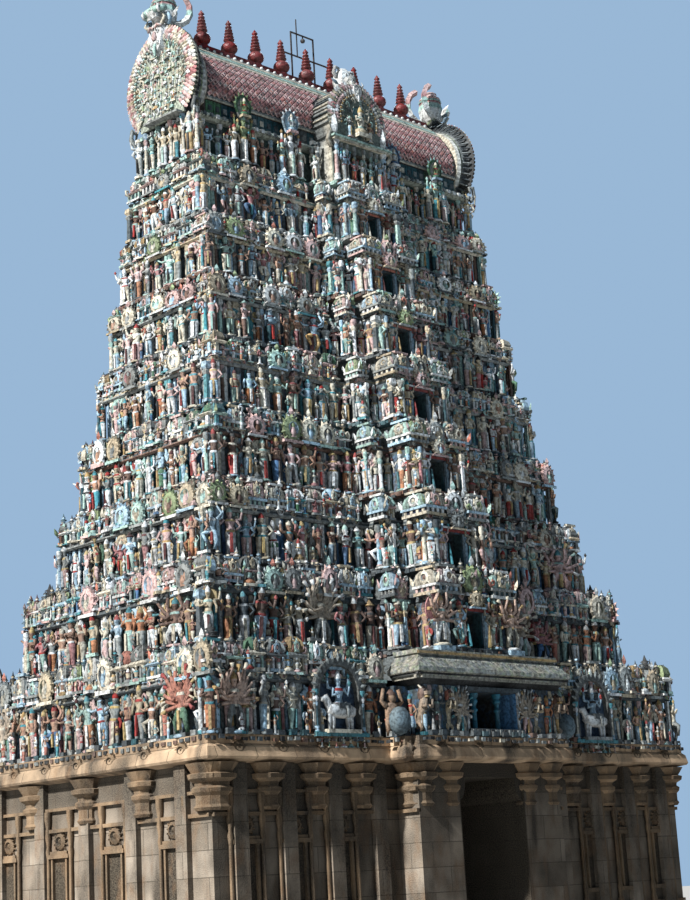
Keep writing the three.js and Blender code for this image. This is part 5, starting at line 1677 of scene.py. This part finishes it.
def addDormer(side):
    name = "front" if side > 0 else "back"
    rng = seededFor("dormer", name)
    work, crowd = Carving(), Carving()
    run = frontRun(dormerArch["outer"], 2.2, side)
    centre = run.length / 2
    addFeathers(rng, work, run, dormerArch, dormerWork, "ochre")
    encrust(rng, work, crowd, run, dormerArch, 1.3, 2.7, 0.1, "dormerFace")
    # Seated deity with attendants in the face, a standing row under it
    robes = dressed(rng, skin="cream", cloth="sand", crown="gold", halo="teal")
    crowd.put(littleOnes[4], run.spot(centre, 0.3, crownLevel + 2.75, 1.9), robes)
    for turn in (-1, 1):
        maiden = run.spot(centre + turn * 0.75, 0.24, crownLevel + 2.7, 1.25)
        crowd.put(figures["maiden"], maiden, dressed(rng))
        # White pointed leaf, curl and column at the corners
        leaf = run.spot(centre + turn * 1.78, 0.12, crownLevel + 2.5, (0.95, 1.4, 1.6))
        work.put(shapes["leaf"], leaf, {"leaf": "white"})
        curl = run.spot(centre + turn * 2.02, 0.05, crownLevel + 1.9, (0.9 * turn, 0.9, 1.1))
        work.put(shapes["curl"], curl, {"leaf": "cream"})
        column = run.spot(centre + turn * 1.75, 0.1, crownLevel, (0.42, 0.42, 2.4))
        work.put(stamps["column"], column, masonry(rng, shaft="pink", cap="white", base="white", light="sky"))
        for x in (0.35, 0.9, 1.3):
            column = run.spot(centre + turn * x, 0.02, crownLevel + 0.1, (0.26, 0.26, 2.2))
            work.put(stamps["column"], column, masonry(rng, shaft="cream", cap="mint", base="grey"))
        goddess = run.spot(centre + turn * 1.3, 0.24, crownLevel, 1.9)
        crowd.put(figures["goddess"], goddess, dressed(rng, skin="sky", cloth="grey"))
        crowd.put(figures["deity"], run.spot(centre + turn * 0.62, 0.22, crownLevel, 1.55), dressed(rng))
    robes = dressed(rng, skin="white", cloth="white")
    crowd.put(figures["haloed"], run.spot(centre, 0.2, crownLevel, 1.6), robes)
    shelf = Shape().box(-2.05, 2.05, -0.36, 0.1, 0, 0.12, "light", open="back")
    shelf.box(-2.15, 2.15, -0.46, 0.1, 0.12, 0.22, "base", open="back")
    work.put(shelf, run.spot(centre, 0, crownLevel + 2.3), {"light": "cream", "base": "mint"})
    reach = dormerArch["radius"] + 0.03
    addRibs(rng, work, run, dormerArch, dormerWork["ribs"], dormerWork["ribPast"],
            ((reach, -0.12), (reach, -1.5)), dormerWork["rib"], True, ("cream", "grey", "slate"))
    addDormerHead(work, side)
    work.put(stamps["mask"], run.spot(centre, 0.14, crownLevel + 5.55, 0.62), dormerWork["mask"])
    work.build(f"dormer_{name}_carving", "trim", "gable_plaster")
    crowd.build(f"dormer_{name}_figures", "figures", "gable_plaster")


# Attendants and hooded deities that stand on the top cornice in front of the neck
neckRow = {
    "pitch": 0.6, "columnPitch": 1.2, "blockPitch": 0.42, "flankOut": 2.71, "half": 10.3, "corner": 9.9,
    "hoods": ((-7.2, "green", "leaf"), (-3.95, "sky", "white"), (3.65, "blue", "sky"),
              (7.0, "green", "mint")),
    "endOut": 10.34, "endHalf": 2.7, "ends": ((-2.1, 2.3), (-1.0, 2.0), (0.0, 2.2), (1.0, 2.0), (2.1, 2.3)),
}


def addHoods(rng, work, crowd, side):
    flank = frontRun(neckRow["flankOut"], neckRow["half"], side)
    for x, field, rim in neckRow["hoods"]:
        along = neckRow["half"] + x * side
        green = field == "green"
        robes = dressed(rng, base="white", skin=rim)
        crowd.put(figures["goddess"], flank.spot(along, -0.02, crownLevel, 2.7), robes)
        hood = masonry(rng, field="grey" if green else "sky", rim=field, leaf=rim)
        work.put(stamps["hood"], flank.spot(along, 0.0, crownLevel + 2.5, (1.05, 1.0, 1.25)), hood)
        robes = dressed(rng, skin="leaf" if green else "white", cloth=field, halo=rim, crown="cream")
        crowd.put(littleOnes[3], flank.spot(along, 0.16, crownLevel + 2.45, 1.15), robes)
        for turn in (-1, 1):
            place = flank.spot(along + turn * 0.62, 0.0, crownLevel, 2.1)
            crowd.put(figures["maiden"], place, dressed(rng))
    for turn in (-side, side):
        along = neckRow["half"] + neckRow["corner"] * turn
        crowd.put(figures["deity"], flank.spot(along, -0.3, crownLevel, 2.5, -0.5 * turn), dressed(rng))
        place = flank.spot(along + 0.2 * turn, -0.15, crownLevel + 2.0, (0.9 * turn, 0.8, 1.2))
        work.put(shapes["curl"], place, {"leaf": "grey"})


def addNeckRow():
    rng = seededFor("neck")
    crowd, work = Carving(), Carving()
    kinds = list(figures.values())
    for run in runsOf(ledgePlan(9)):
        if run.kind == "bay" or run.length < 0.5:
            continue
        for along in run.spots(neckRow["pitch"], 0.12):
            across, out = along + rng.uniform(-0.06, 0.06), -0.32 + rng.uniform(-0.05, 0.05)
            place = run.spot(across, out, crownLevel, rng.uniform(1.5, 1.85), rng.uniform(-0.4, 0.4))
            crowd.put(rng.choice(kinds), place, dressed(rng))
        for along in run.spots(neckRow["columnPitch"], 0.3):
            work.put(stamps["column"], run.spot(along, -0.56, crownLevel, (0.3, 0.3, 2.03)), masonry(rng))
        for along in run.spots(neckRow["blockPitch"], 0.1):
            place = run.spot(along, -0.2, crownLevel + 2.1, (0.2, 0.16, 0.22))
            work.block(place, pick(rng, "neckBlocks"))
    for side in (-1, 1):
        addHoods(rng, work, crowd, side)
    for side in (-1, 1):
        run = endRun(neckRow["endOut"], neckRow["endHalf"], side)
        for y, tall in neckRow["ends"]:
            kind = rng.choice(kinds)
            along = neckRow["endHalf"] + y
            crowd.put(kind, run.spot(along, -0.06, crownLevel, tall, rng.uniform(-0.3, 0.3)), dressed(rng))
            column = run.spot(along + 0.5, -0.15, crownLevel, (0.34, 0.34, 2.35))
            work.put(stamps["column"], column, masonry(rng, shaft="cream", cap="white"))
        slab = Shape().box(-1.4, 1.4, -0.4, 0.2, 0, 0.1, "light", open="back")
        work.put(slab, run.spot(3.0, 0, crownLevel + 2.42, lean=0.05), {"light": "grey"})
    crowd.build("neck_figures", "figures", "shrine_paint")
    work.build("neck_carving", "trim", "wall_paint")


# Pot finials and balcony pillars turned afresh in place of the faceted ones
finialWork = {
    "count": 9, "pitch": 1.868, "sides": 20, "rings": 5, "firstRing": 0.96, "ringPitch": 0.19,
    "ringRadius": 0.3, "ringLoss": 0.03, "foot": 7.5, "height": 2.19, "colour": (0.50, 0.09, 0.08),
}
pillarWork = {
    "across": 0.8, "out": 10.05, "sides": 16, "colours": {"turned": (0.42, 0.74, 0.86), "cap": "white"},
}


def addFinials():
    rows = [(0.0, 0.3), (0.05, 0.34), (0.1, 0.2), (0.16, 0.24)]
    for angle in np.linspace(0.5, math.pi - 0.4, 8):
        rows.append((0.48 - 0.32 * math.cos(angle), 0.12 + 0.34 * math.sin(angle)))
    rows += [(0.82, 0.22), (0.86, 0.12)]
    for index in range(finialWork["rings"]):
        z = finialWork["firstRing"] + finialWork["ringPitch"] * index
        radius = finialWork["ringRadius"] - finialWork["ringLoss"] * index
        rows += [(z - 0.06, 0.11), (z - 0.02, radius), (z + 0.03, radius), (z + 0.07, 0.11)]
    rows += [(1.85, 0.1), (1.92, 0.17), (2.0, 0.12), (finialWork["height"] - 0.02, 0.012)]
    shape = turned(rows, finialWork["sides"], "turned", (True, False))
    for index in range(finialWork["count"]):
        work = Carving()
        x = (index - finialWork["count"] // 2) * finialWork["pitch"]
        work.put(shape, shifted(x, 0, crownLevel + finialWork["foot"]), {"turned": finialWork["colour"]})
        piece = work.build(f"pot_finial_{index + 1}", "maroon", "finial_paint")
        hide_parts(f"finial_{index + 1}")


def addBalconyPillars():
    rows = [(0.02, 0.2), (0.12, 0.2), (0.14, 0.14), (0.3, 0.15), (0.34, 0.19), (0.4, 0.19), (0.44, 0.12),
            (1.2, 0.11), (1.26, 0.17), (1.34, 0.17), (1.38, 0.11), (1.6, 0.13), (1.68, 0.19), (1.78, 0.19),
            (1.82, 0.13), (1.92, 0.22), (2.08, 0.22)]
    roles = ["turned" if 0.4 <= z < 1.6 else "cap" for z, _ in rows[:-1]]
    shape = turned(rows, pillarWork["sides"], roles, (True, False))
    for side, face in ((1, "front"), (-1, "back")):
        for x, word in ((-1, "left"), (1, "right")):
            work = Carving()
            place = shifted(pillarWork["across"] * x * side, -pillarWork["out"] * side, batter["baseHeight"])
            work.put(shape, place, pillarWork["colours"])
            piece = work.build(f"turned_pillar_{face}_{word}", "pillars", "pillar_paint")
            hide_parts(f"balcony_{face}_pillar_{word}")


addRoof()
for side in (-1, 1):
    addGable(side)
    addDormer(side)
addNeckRow()
addFinials()
addBalconyPillars()
print("crown carved:", counted["triangles"])


# Frames round the doors of the bays: jambs as past the door's edge, out, width, depth and paint
doorFrame = {
    "share": 0.44, "lintel": 0.14,
    "jambs": ((0.09, 0.0, 0.16, 0.3, "sky"), (0.24, 0.0, 0.12, 0.2, "turquoise"),
              (-0.03, -0.3, 0.05, 0.5, "teal")),
}


def addDoors():
    rng = seededFor("doors")
    work = Carving()
    for k in range(2, batter["storeys"] + 1):
        half, height = doorHalf(k), doorFrame["share"] * storeyHeight(k)
        level = ledgeLevel(k)
        head = level + height
        for side in (-1, 1):
            run = frontRun(bayFront(k), half + 0.5, side)
            centre = run.length / 2
            for turn in (-1, 1):
                for past, out, wide, deep, colour in doorFrame["jambs"]:
                    place = run.spot(centre + turn * (half + past), out, level, (wide, deep, height))
                    work.block(place, colour)
            lintel = run.spot(centre, 0.02, head, (2 * half + 0.7, 0.36, doorFrame["lintel"]))
            work.block(lintel, "red" if k < 6 else "coral")
            hood = run.spot(centre, 0.05, head + doorFrame["lintel"], (2 * half + 0.9, 0.44, 0.1))
            work.block(hood, "white")
            work.put(shapes["plaque"], run.spot(centre, 0.3, head + 0.1, (1.1, 1, 0.9)), blocky(rng))
    work.build("door_frames", "trim", "wall_paint")


# Arched niche with a rider, as wide as three figures
niche = {
    "width": 3.0, "height": 3.5, "swell": 1.12, "inner": 0.8, "leaves": 15, "followers": 7,
    "colours": {"rim": "grey", "field": (0.24, 0.36, 0.48), "leaf": (0.62, 0.64, 0.62), "base": "turquoise",
                "cap": "sky"},
}


def nicheShape():
    rise = niche["width"] / 2
    centre = niche["height"] - rise * niche["swell"]
    outer = [(rise, 0)] + archPoints(rise, rise * niche["swell"], centre, 0, 13) + [(-rise, 0)]
    share = niche["inner"]
    inner = [(x * share, z if z == 0 else centre + (z - centre) * share) for x, z in outer]
    arch = Shape().band(outer, inner, -0.3, 0.1, "rim")
    arch.put([(x, 0.05, z) for x, z in inner], [tuple(range(len(inner)))[::-1]], "field")
    for angle in np.linspace(0.05, math.pi - 0.05, niche["leaves"]):
        x, z = rise * 0.9 * math.cos(angle), centre + rise * math.sin(angle)
        arch.include(leafShape(), shifted(x, -0.3, z, (0.34, 0.4, 0.42), lean=math.pi / 2 - angle))
    arch.box(-rise - 0.1, rise + 0.1, -0.42, 0.1, -0.02, 0.16, "base", open="back foot")
    for side in (-1, 1):
        arch.include(columnShape(), shifted(side * (rise - 0.1), -0.24, 0.12, (0.3, 0.3, centre + 0.1)))
    return arch


def addNiche(crowd, work, run, along, level, robes):
    colours = masonry(seededFor("niche", along), **niche["colours"])
    work.put(nicheShape(), run.spot(along, -0.36, level), colours)
    crowd.put(rider, run.spot(along, -0.16, level + 0.12, (2.75, 2.3, 2.85)), robes)
    for index in range(niche["followers"]):
        across = along - niche["width"] / 2 + niche["width"] * (index + 0.5) / niche["followers"]
        place = run.spot(across, 0.02, level - 0.5, 0.55)
        crowd.put(littleOnes[index % 6], place, dressed(seededFor("niche foot", index)))


# Colours that the larger figures of the two lowest storeys and of the porch always have
robeColours = {
    "red": {"skin": (0.84, 0.70, 0.62), "halo": "rose", "emblem": "cream", "crown": "ochre"},
    "flame": {"skin": (0.70, 0.45, 0.37), "halo": "rose", "emblem": "red", "crown": "green",
              "cloth": "green"},
    "brown": {"skin": (0.74, 0.68, 0.60), "halo": "grey", "emblem": "white", "crown": "grey"},
    "white": {"skin": "sky", "cloth": "grey", "mount": "white", "sash": "slate", "crown": "white"},
    "ball": {"skin": (0.66, 0.53, 0.42), "halo": (0.40, 0.49, 0.53), "cloth": "coral", "crown": "brown"},
    "lion": {"skin": (0.62, 0.54, 0.46), "cloth": "brown"},
    "paleLion": {"skin": "sand", "cloth": "coral"},
}
porchWork = {
    "half": 6.6, "pillars": (2.0, 2.62, 3.45, 4.2), "lining": (0.34, 0.66, 0.92), "rail": 1.7, "posts": 12,
    "kings": (0.5, 1.3), "kingRun": (4.9, 9.2, 10.9),
}


# Niches with riders and many-armed deities on the ledges of the two lowest storeys
def addManyArmed(rng, crowd, work, side):
    level, second = ledgeLevel(1), ledgeLevel(2)
    first = frontRun(halfWidth(1), halfLength(1), side)
    for x in (-8.7, 9.0):
        addNiche(crowd, work, first, halfLength(1) + x * side, level, dressed(rng, **robeColours["white"]))
    end = endRun(halfLength(1), halfWidth(1), side)
    crowd.put(fan, end.spot(halfWidth(1) + 7.2, -0.3, level, 2.75), dressed(rng, **robeColours["flame"]))
    crowd.put(fan, end.spot(halfWidth(1) - 6.6, -0.3, level, 2.6), dressed(rng, **robeColours["brown"]))
    place = first.spot(halfLength(1) - side * 14.6, -0.3, level, 2.7)
    crowd.put(fan, place, dressed(rng, **robeColours["red" if side > 0 else "brown"]))
    upper = frontRun(halfWidth(2), halfLength(2), side)
    place = upper.spot(halfLength(2) - 7.6 * side, -0.3, second, 2.95)
    crowd.put(fan, place, dressed(rng, **robeColours["brown"]))
    place = upper.spot(halfLength(2) + 6.4 * side, -0.3, second, 2.8)
    crowd.put(eightArmed, place, dressed(rng, **robeColours["brown"]))
    bay = frontRun(bayFront(2) + batter["bayLedge"], bayHalf(2), side)
    for turn in (-1, 1):
        along = bayHalf(2) + turn * (bayHalf(2) - 0.35)
        crowd.put(eightArmed, bay.spot(along, -0.2, second, 2.5), dressed(rng, **robeColours["red"]))
        work.block(bay.spot(along, -0.1, second - 0.42, (1.0, 0.5, 0.42)), "sky")


# Giants, lion brackets and attendants beside the balcony, and its lining and rail
def addPorch(rng, crowd, work, side):
    half, level = porchWork["half"], ledgeLevel(1)
    porch, step = frontRun(bayFront(1), half, side), frontRun(shoulderOut(1), half, side)
    for turn in (-1, 1):
        place = step.spot(half + turn * 5.75, -0.45, level, (1.8, 1.6, 2.15))
        crowd.put(giant, place, dressed(rng, **robeColours["ball"]))
        place = porch.spot(half + turn * 4.62, -0.05, level, (2.0, 2.0, 2.3))
        crowd.put(lion, place, dressed(rng, **robeColours["lion"]))
        place = porch.spot(half + turn * 3.05, 0.02, level, (1.5, 1.6, 2.25))
        crowd.put(lion, place, dressed(rng, **robeColours["paleLion"]))
        place = porch.spot(half + turn * 3.85, 0.05, level, (2.1 * turn, 2.0, 2.1))
        crowd.put(guardian, place, dressed(rng, True))
        place = porch.spot(half + turn * 2.3, 0.05, level, (1.7, 1.8, 2.1))
        crowd.put(fan, place, dressed(rng, True, **robeColours["brown"]))
        for x in porchWork["pillars"]:
            place = porch.spot(half + turn * x, -0.1, level, (0.26, 0.26, 2.3))
            work.put(shapes["square"], place, masonry(rng, shaft="blue" if x < 3 else "sky"))
        lining = porch.spot(half + turn * 1.74, -0.55, level, (0.1, 1.1, 2.1))
        work.block(lining, porchWork["lining"])
        work.block(porch.spot(half + turn * 1.76, 0.03, level, (0.12, 0.08, 2.1)), "white")
        run = returnRun(*porchWork["kingRun"], side, turn)
        for inward in porchWork["kings"]:
            along = run.length - inward if turn < 0 else inward
            crowd.put(figures["king"], run.spot(along, -0.3, level, 2.0), dressed(rng, True))
    work.block(porch.spot(half, 0.05, level + 2.1, (3.7, 0.3, 0.2)), "slate")
    work.block(porch.spot(half, 0.2, level + 0.02, (3.7, 0.2, 0.34)), "slate")
    for x in np.linspace(-porchWork["rail"], porchWork["rail"], porchWork["posts"]):
        place = porch.spot(half + x, 0.31, level + 0.06, (0.16, 0.06, 0.26))
        work.block(place, "grey" if int(x * 10) % 2 else "dark")


def addLargeOnes():
    rng = seededFor("large")
    crowd, work = Carving(), Carving()
    for side in (-1, 1):
        addManyArmed(rng, crowd, work, side)
        addPorch(rng, crowd, work, side)
    crowd.build("lower_large_figures", "figures", "shrine_paint")
    work.build("lower_niches", "trim", "shrine_paint")


# Scrolls, arches and an ochre line on the stone canopy; its lines as up, out, height and colour, the dark one
# being painted shade in the groove under the slope
canopyWork = {
    "foot": 2.34, "scrollPitch": 0.3, "archPitch": 0.6, "scroll": (0.68, 0.67, 0.62),
    "lines": ((0.24, -0.32, 0.14, (0.66, 0.64, 0.58)), (0.4, -0.2, 0.1, "dark"),
              (0.52, -0.1, 0.06, (0.66, 0.64, 0.58))),
}


def addCanopyWork():
    rng = seededFor("canopy")
    work = Carving()
    foot, pale = ledgeLevel(1) + canopyWork["foot"], canopyWork["scroll"]
    for side in (-1, 1):
        returns = [returnRun(5.3, 8.95, 11.0, side, turn) for turn in (-1, 1)]
        for run in [frontRun(11.0, 5.3, side)] + returns:
            for along in run.spots(canopyWork["scrollPitch"], 0.1):
                place = run.spot(along, -0.12, foot + 0.6, (0.26, 0.2, 0.16))
                work.put(shapes["curl"], place, {"leaf": tinted(rng, pale)})
            for along in run.spots(canopyWork["archPitch"], 0.2):
                place = run.spot(along, -0.36, foot + 0.84, (0.4, 0.34, 0.34))
                work.put(shapes["kudu"], place, masonry(rng, rim=(0.66, 0.65, 0.6), field="grey", leaf=pale))
            for up, out, tall, colour in canopyWork["lines"]:
                work.block(run.spot(run.length / 2, out, foot + up, (run.length - 0.1, 0.16, tall)), colour)
        top = frontRun(10.55, 4.85, side)
        work.block(top.spot(4.85, 0.0, ledgeLevel(1) + 3.74, (9.7, 0.08, 0.12)), "ochre")
    work.build("canopy_scrolls", "trim", "canopy_stone")


# Capitals, brackets, framed niches and string courses of the granite base
baseWork = {
    "length": 15.75, "width": 8.75, "porch": (4.9, 10.1), "proud": 0.67, "firstPlace": 0.375, "pitch": 2.71,
    "porchPlaces": (0.55, 2.2),
    "courses": ((3.9, 0.06, 0.24), (4.4, 0.04, 0.14), (9.05, 0.05, 0.16), (10.0, 0.06, 0.14)),
    "kinds": ["flank", "return", "porch", "return", "flank", "end"] * 2,
    # The dark field and shade paints are painted shade in the hollows of the stone plaques and niches
    "colours": {"stone": (0.72, 0.66, 0.58), "rim": (0.6, 0.54, 0.47), "field": (0.2, 0.19, 0.18),
                "leaf": (0.6, 0.55, 0.48), "shade": (0.24, 0.22, 0.2), "boss": (0.5, 0.46, 0.4)},
}


def capitalShape():
    rows = [(9.3, 0.42), (9.42, 0.5), (9.54, 0.42), (9.9, 0.42), (10.05, 0.55), (10.2, 0.58), (10.3, 0.44),
            (10.45, 0.46), (10.6, 0.7), (10.78, 0.74), (10.84, 0.56), (11.24, 0.8)]
    return Shape().loft([(z, r * 1.25, r) for z, r in rows], 8, "stone", False, 0.5, (True, False))


def nicheFrame():
    surround = Shape()
    for x0, x1, front, z0, z1, left in (
        (-0.62, -0.5, -0.16, 0, 2.6, "back foot"), (0.5, 0.62, -0.16, 0, 2.6, "back foot"),
        (-0.8, 0.8, -0.22, 2.6, 2.78, "back"), (-0.66, 0.66, -0.18, 2.78, 2.92, "back"),
        (-0.8, 0.8, -0.24, -0.2, 0, "back"),
    ):
        surround.box(x0, x1, front, 0, z0, z1, "stone", open=left)
    surround.include(plaqueShape(9, False), shifted(0, 0.0, 2.9, (1.0, 1.0, 0.9)))
    panel = [(x, -0.01, z) for x, z in ((-0.5, 0), (0.5, 0), (0.5, 2.6), (-0.5, 2.6))]
    return surround.put(panel, [(0, 1, 2, 3)], "shade")


# Where the pilasters of a run stand; niches are set between those of the flanks and ends
def pilasterPlaces(run):
    if run.kind == "porch":
        near = list(baseWork["porchPlaces"])
        return near + [run.length - place for place in reversed(near)]
    if run.kind == "return":
        return [run.length / 2]
    first = baseWork["firstPlace"]
    count = 5 if run.kind == "end" else 4
    pitch = (run.length - 2 * first) / 4 if run.kind == "end" else baseWork["pitch"]
    places = [first + pitch * index for index in range(count)]
    if run.kind == "flank" and run.start[0] * run.start[1] < 0:
        return [run.length - place for place in places]
    return places


def addBaseWork():
    work, crowd = Carving(), Carving()
    capital, surround = capitalShape(), nicheFrame()
    colours, kinds = baseWork["colours"], baseWork["kinds"]
    granite = colours["stone"]
    plain = {role: granite for role in ("base", "cap", "shaft", "light")}
    for run in runsOf(steppedPlan(baseWork["length"], baseWork["width"], [baseWork["porch"]]), kinds):
        places = pilasterPlaces(run)
        wide = run.kind in ("flank", "end")
        out = 0.28 if wide else 0.0
        for along in places:
            work.put(capital, run.spot(along, out - 0.3, 0), colours)
            work.block(run.spot(along, out, 3.0, (0.95, 0.5, 0.5)), granite)
            work.block(run.spot(along, out, 3.5, (0.86, 0.36, 0.22)), granite)
        for low, high in zip(sorted(places), sorted(places)[1:]) if wide else ():
            along = (low + high) / 2
            work.put(surround, run.spot(along, 0.02, 5.3), colours)
            for turn in (-1, 1):
                column = run.spot(along + turn * 0.88, 0.12, 4.4, (0.34, 0.34, 5.6))
                work.put(stamps["column"], column, plain)
        for z, proud, tall in baseWork["courses"] if run.kind != "porch" else ():
            work.block(run.spot(run.length / 2, proud, z, (run.length, 0.24, tall)), granite)
    work.build("granite_carving", "stonework", "granite")
    # Bosses that stand along the stone cornice
    proud = baseWork["proud"]
    porch = tuple(level + proud for level in baseWork["porch"])
    for run in runsOf(steppedPlan(baseWork["length"] + proud, baseWork["width"] + proud, [porch]), kinds):
        for along in run.spots(2.7, 0.6):
            crowd.put(shapes["kudu"], run.spot(along, -0.16, 11.5, (0.9, 0.8, 0.7)), colours)
    crowd.build("cornice_bosses", "stonework", "cornice_stone")


addDoors()
addLargeOnes()
addCanopyWork()
addBaseWork()
print("lower carvings set:", counted["triangles"])


# Camera where the photograph was taken from
camera = {
    "at": (-31.6995, -33.7585, 2.8205), "yaw": 0.7647845, "pitch": 0.2422958, "roll": -0.054851,
    "lens": 71.798, "sensor": 36, "clip": 500,
}


def addCamera():
    yaw, pitch, roll = camera["yaw"], camera["pitch"], camera["roll"]
    ahead = Vector((math.sin(yaw) * math.cos(pitch), math.cos(yaw) * math.cos(pitch), math.sin(pitch)))
    level = Vector((math.cos(yaw), -math.sin(yaw), 0))
    above = level.cross(ahead)
    across = level * math.cos(roll) + above * math.sin(roll)
    upward = above * math.cos(roll) - level * math.sin(roll)
    data = bpy.data.cameras.new("camera")
    data.lens = camera["lens"]
    data.sensor_width = camera["sensor"]
    data.clip_end = camera["clip"]
    viewer = bpy.data.objects.new("camera", data)
    turn = Matrix((across, upward, -ahead)).transposed().to_4x4()
    viewer.matrix_world = Matrix.Translation(camera["at"]) @ turn
    bpy.context.scene.collection.objects.link(viewer)
    bpy.context.scene.camera = viewer


# A sun from the left, a weak wide light from behind for the far sides, and dim pale light all round, with
# a lighter backdrop where the sky itself is seen
light = {
    "sun": 7.6, "sunAngle": 3.0, "sunColour": (1.0, 0.975, 0.945), "azimuth": 5.5, "elevation": 40,
    "fill": 1.4, "fillAngle": 25, "fillFrom": (1, 1, 0.9), "sky": 0.175, "glow": (0.48, 0.72, 1.0, 1),
    "backdrop": (0.60, 0.72, 0.84),
}


def addSun(name, strength, angle, source, colour=(1, 1, 1)):
    data = bpy.data.lights.new(name, "SUN")
    data.energy = strength
    data.angle = math.radians(angle)
    data.color = colour
    lamp = bpy.data.objects.new(name, data)
    lamp.rotation_euler = Vector(source).to_track_quat("Z", "Y").to_euler()
    bpy.context.scene.collection.objects.link(lamp)


def addLight():
    azimuth, elevation = math.radians(light["azimuth"]), math.radians(light["elevation"])
    level = math.cos(elevation)
    toSun = (-math.cos(azimuth) * level, -math.sin(azimuth) * level, math.sin(elevation))
    addSun("sun", light["sun"], light["sunAngle"], toSun, light["sunColour"])
    addSun("fill", light["fill"], light["fillAngle"], light["fillFrom"])
    world = bpy.data.worlds.new("pale sky")
    world.use_nodes = True
    tree = world.node_tree
    glow = tree.nodes["Background"]
    glow.inputs["Color"].default_value = light["glow"]
    glow.inputs["Strength"].default_value = light["sky"]
    backdrop = tree.nodes.new("ShaderNodeBackground")
    backdrop.inputs["Color"].default_value = linear(light["backdrop"])
    seen = tree.nodes.new("ShaderNodeLightPath").outputs["Is Camera Ray"]
    chosen = tree.nodes.new("ShaderNodeMixShader")
    tree.links.new(seen, chosen.inputs[0])
    tree.links.new(glow.outputs[0], chosen.inputs[1])
    tree.links.new(backdrop.outputs[0], chosen.inputs[2])
    tree.links.new(chosen.outputs[0], tree.nodes["World Output"].inputs["Surface"])
    bpy.context.scene.world = world


ground = {"half": 400, "colour": (0.34, 0.34, 0.33, 1), "roughness": 0.9}


def addFloor():
    half = ground["half"]
    mesh = bpy.data.meshes.new("floor")
    corners = [(-half, -half, 0), (half, -half, 0), (half, half, 0), (-half, half, 0)]
    mesh.from_pydata(corners, [], [(0, 1, 2, 3)])
    floor = bpy.data.objects.new("floor", mesh)
    pale = Finish("pale floor", ground["roughness"])
    pale.shader.inputs["Base Color"].default_value = ground["colour"]
    mesh.materials.append(pale.material)
    bpy.context.scene.collection.objects.link(floor)


bpy.context.scene.view_settings.view_transform = "Standard"
addCamera()
addLight()
addFloor()
print("camera, light and floor set; triangles added:", counted["triangles"])
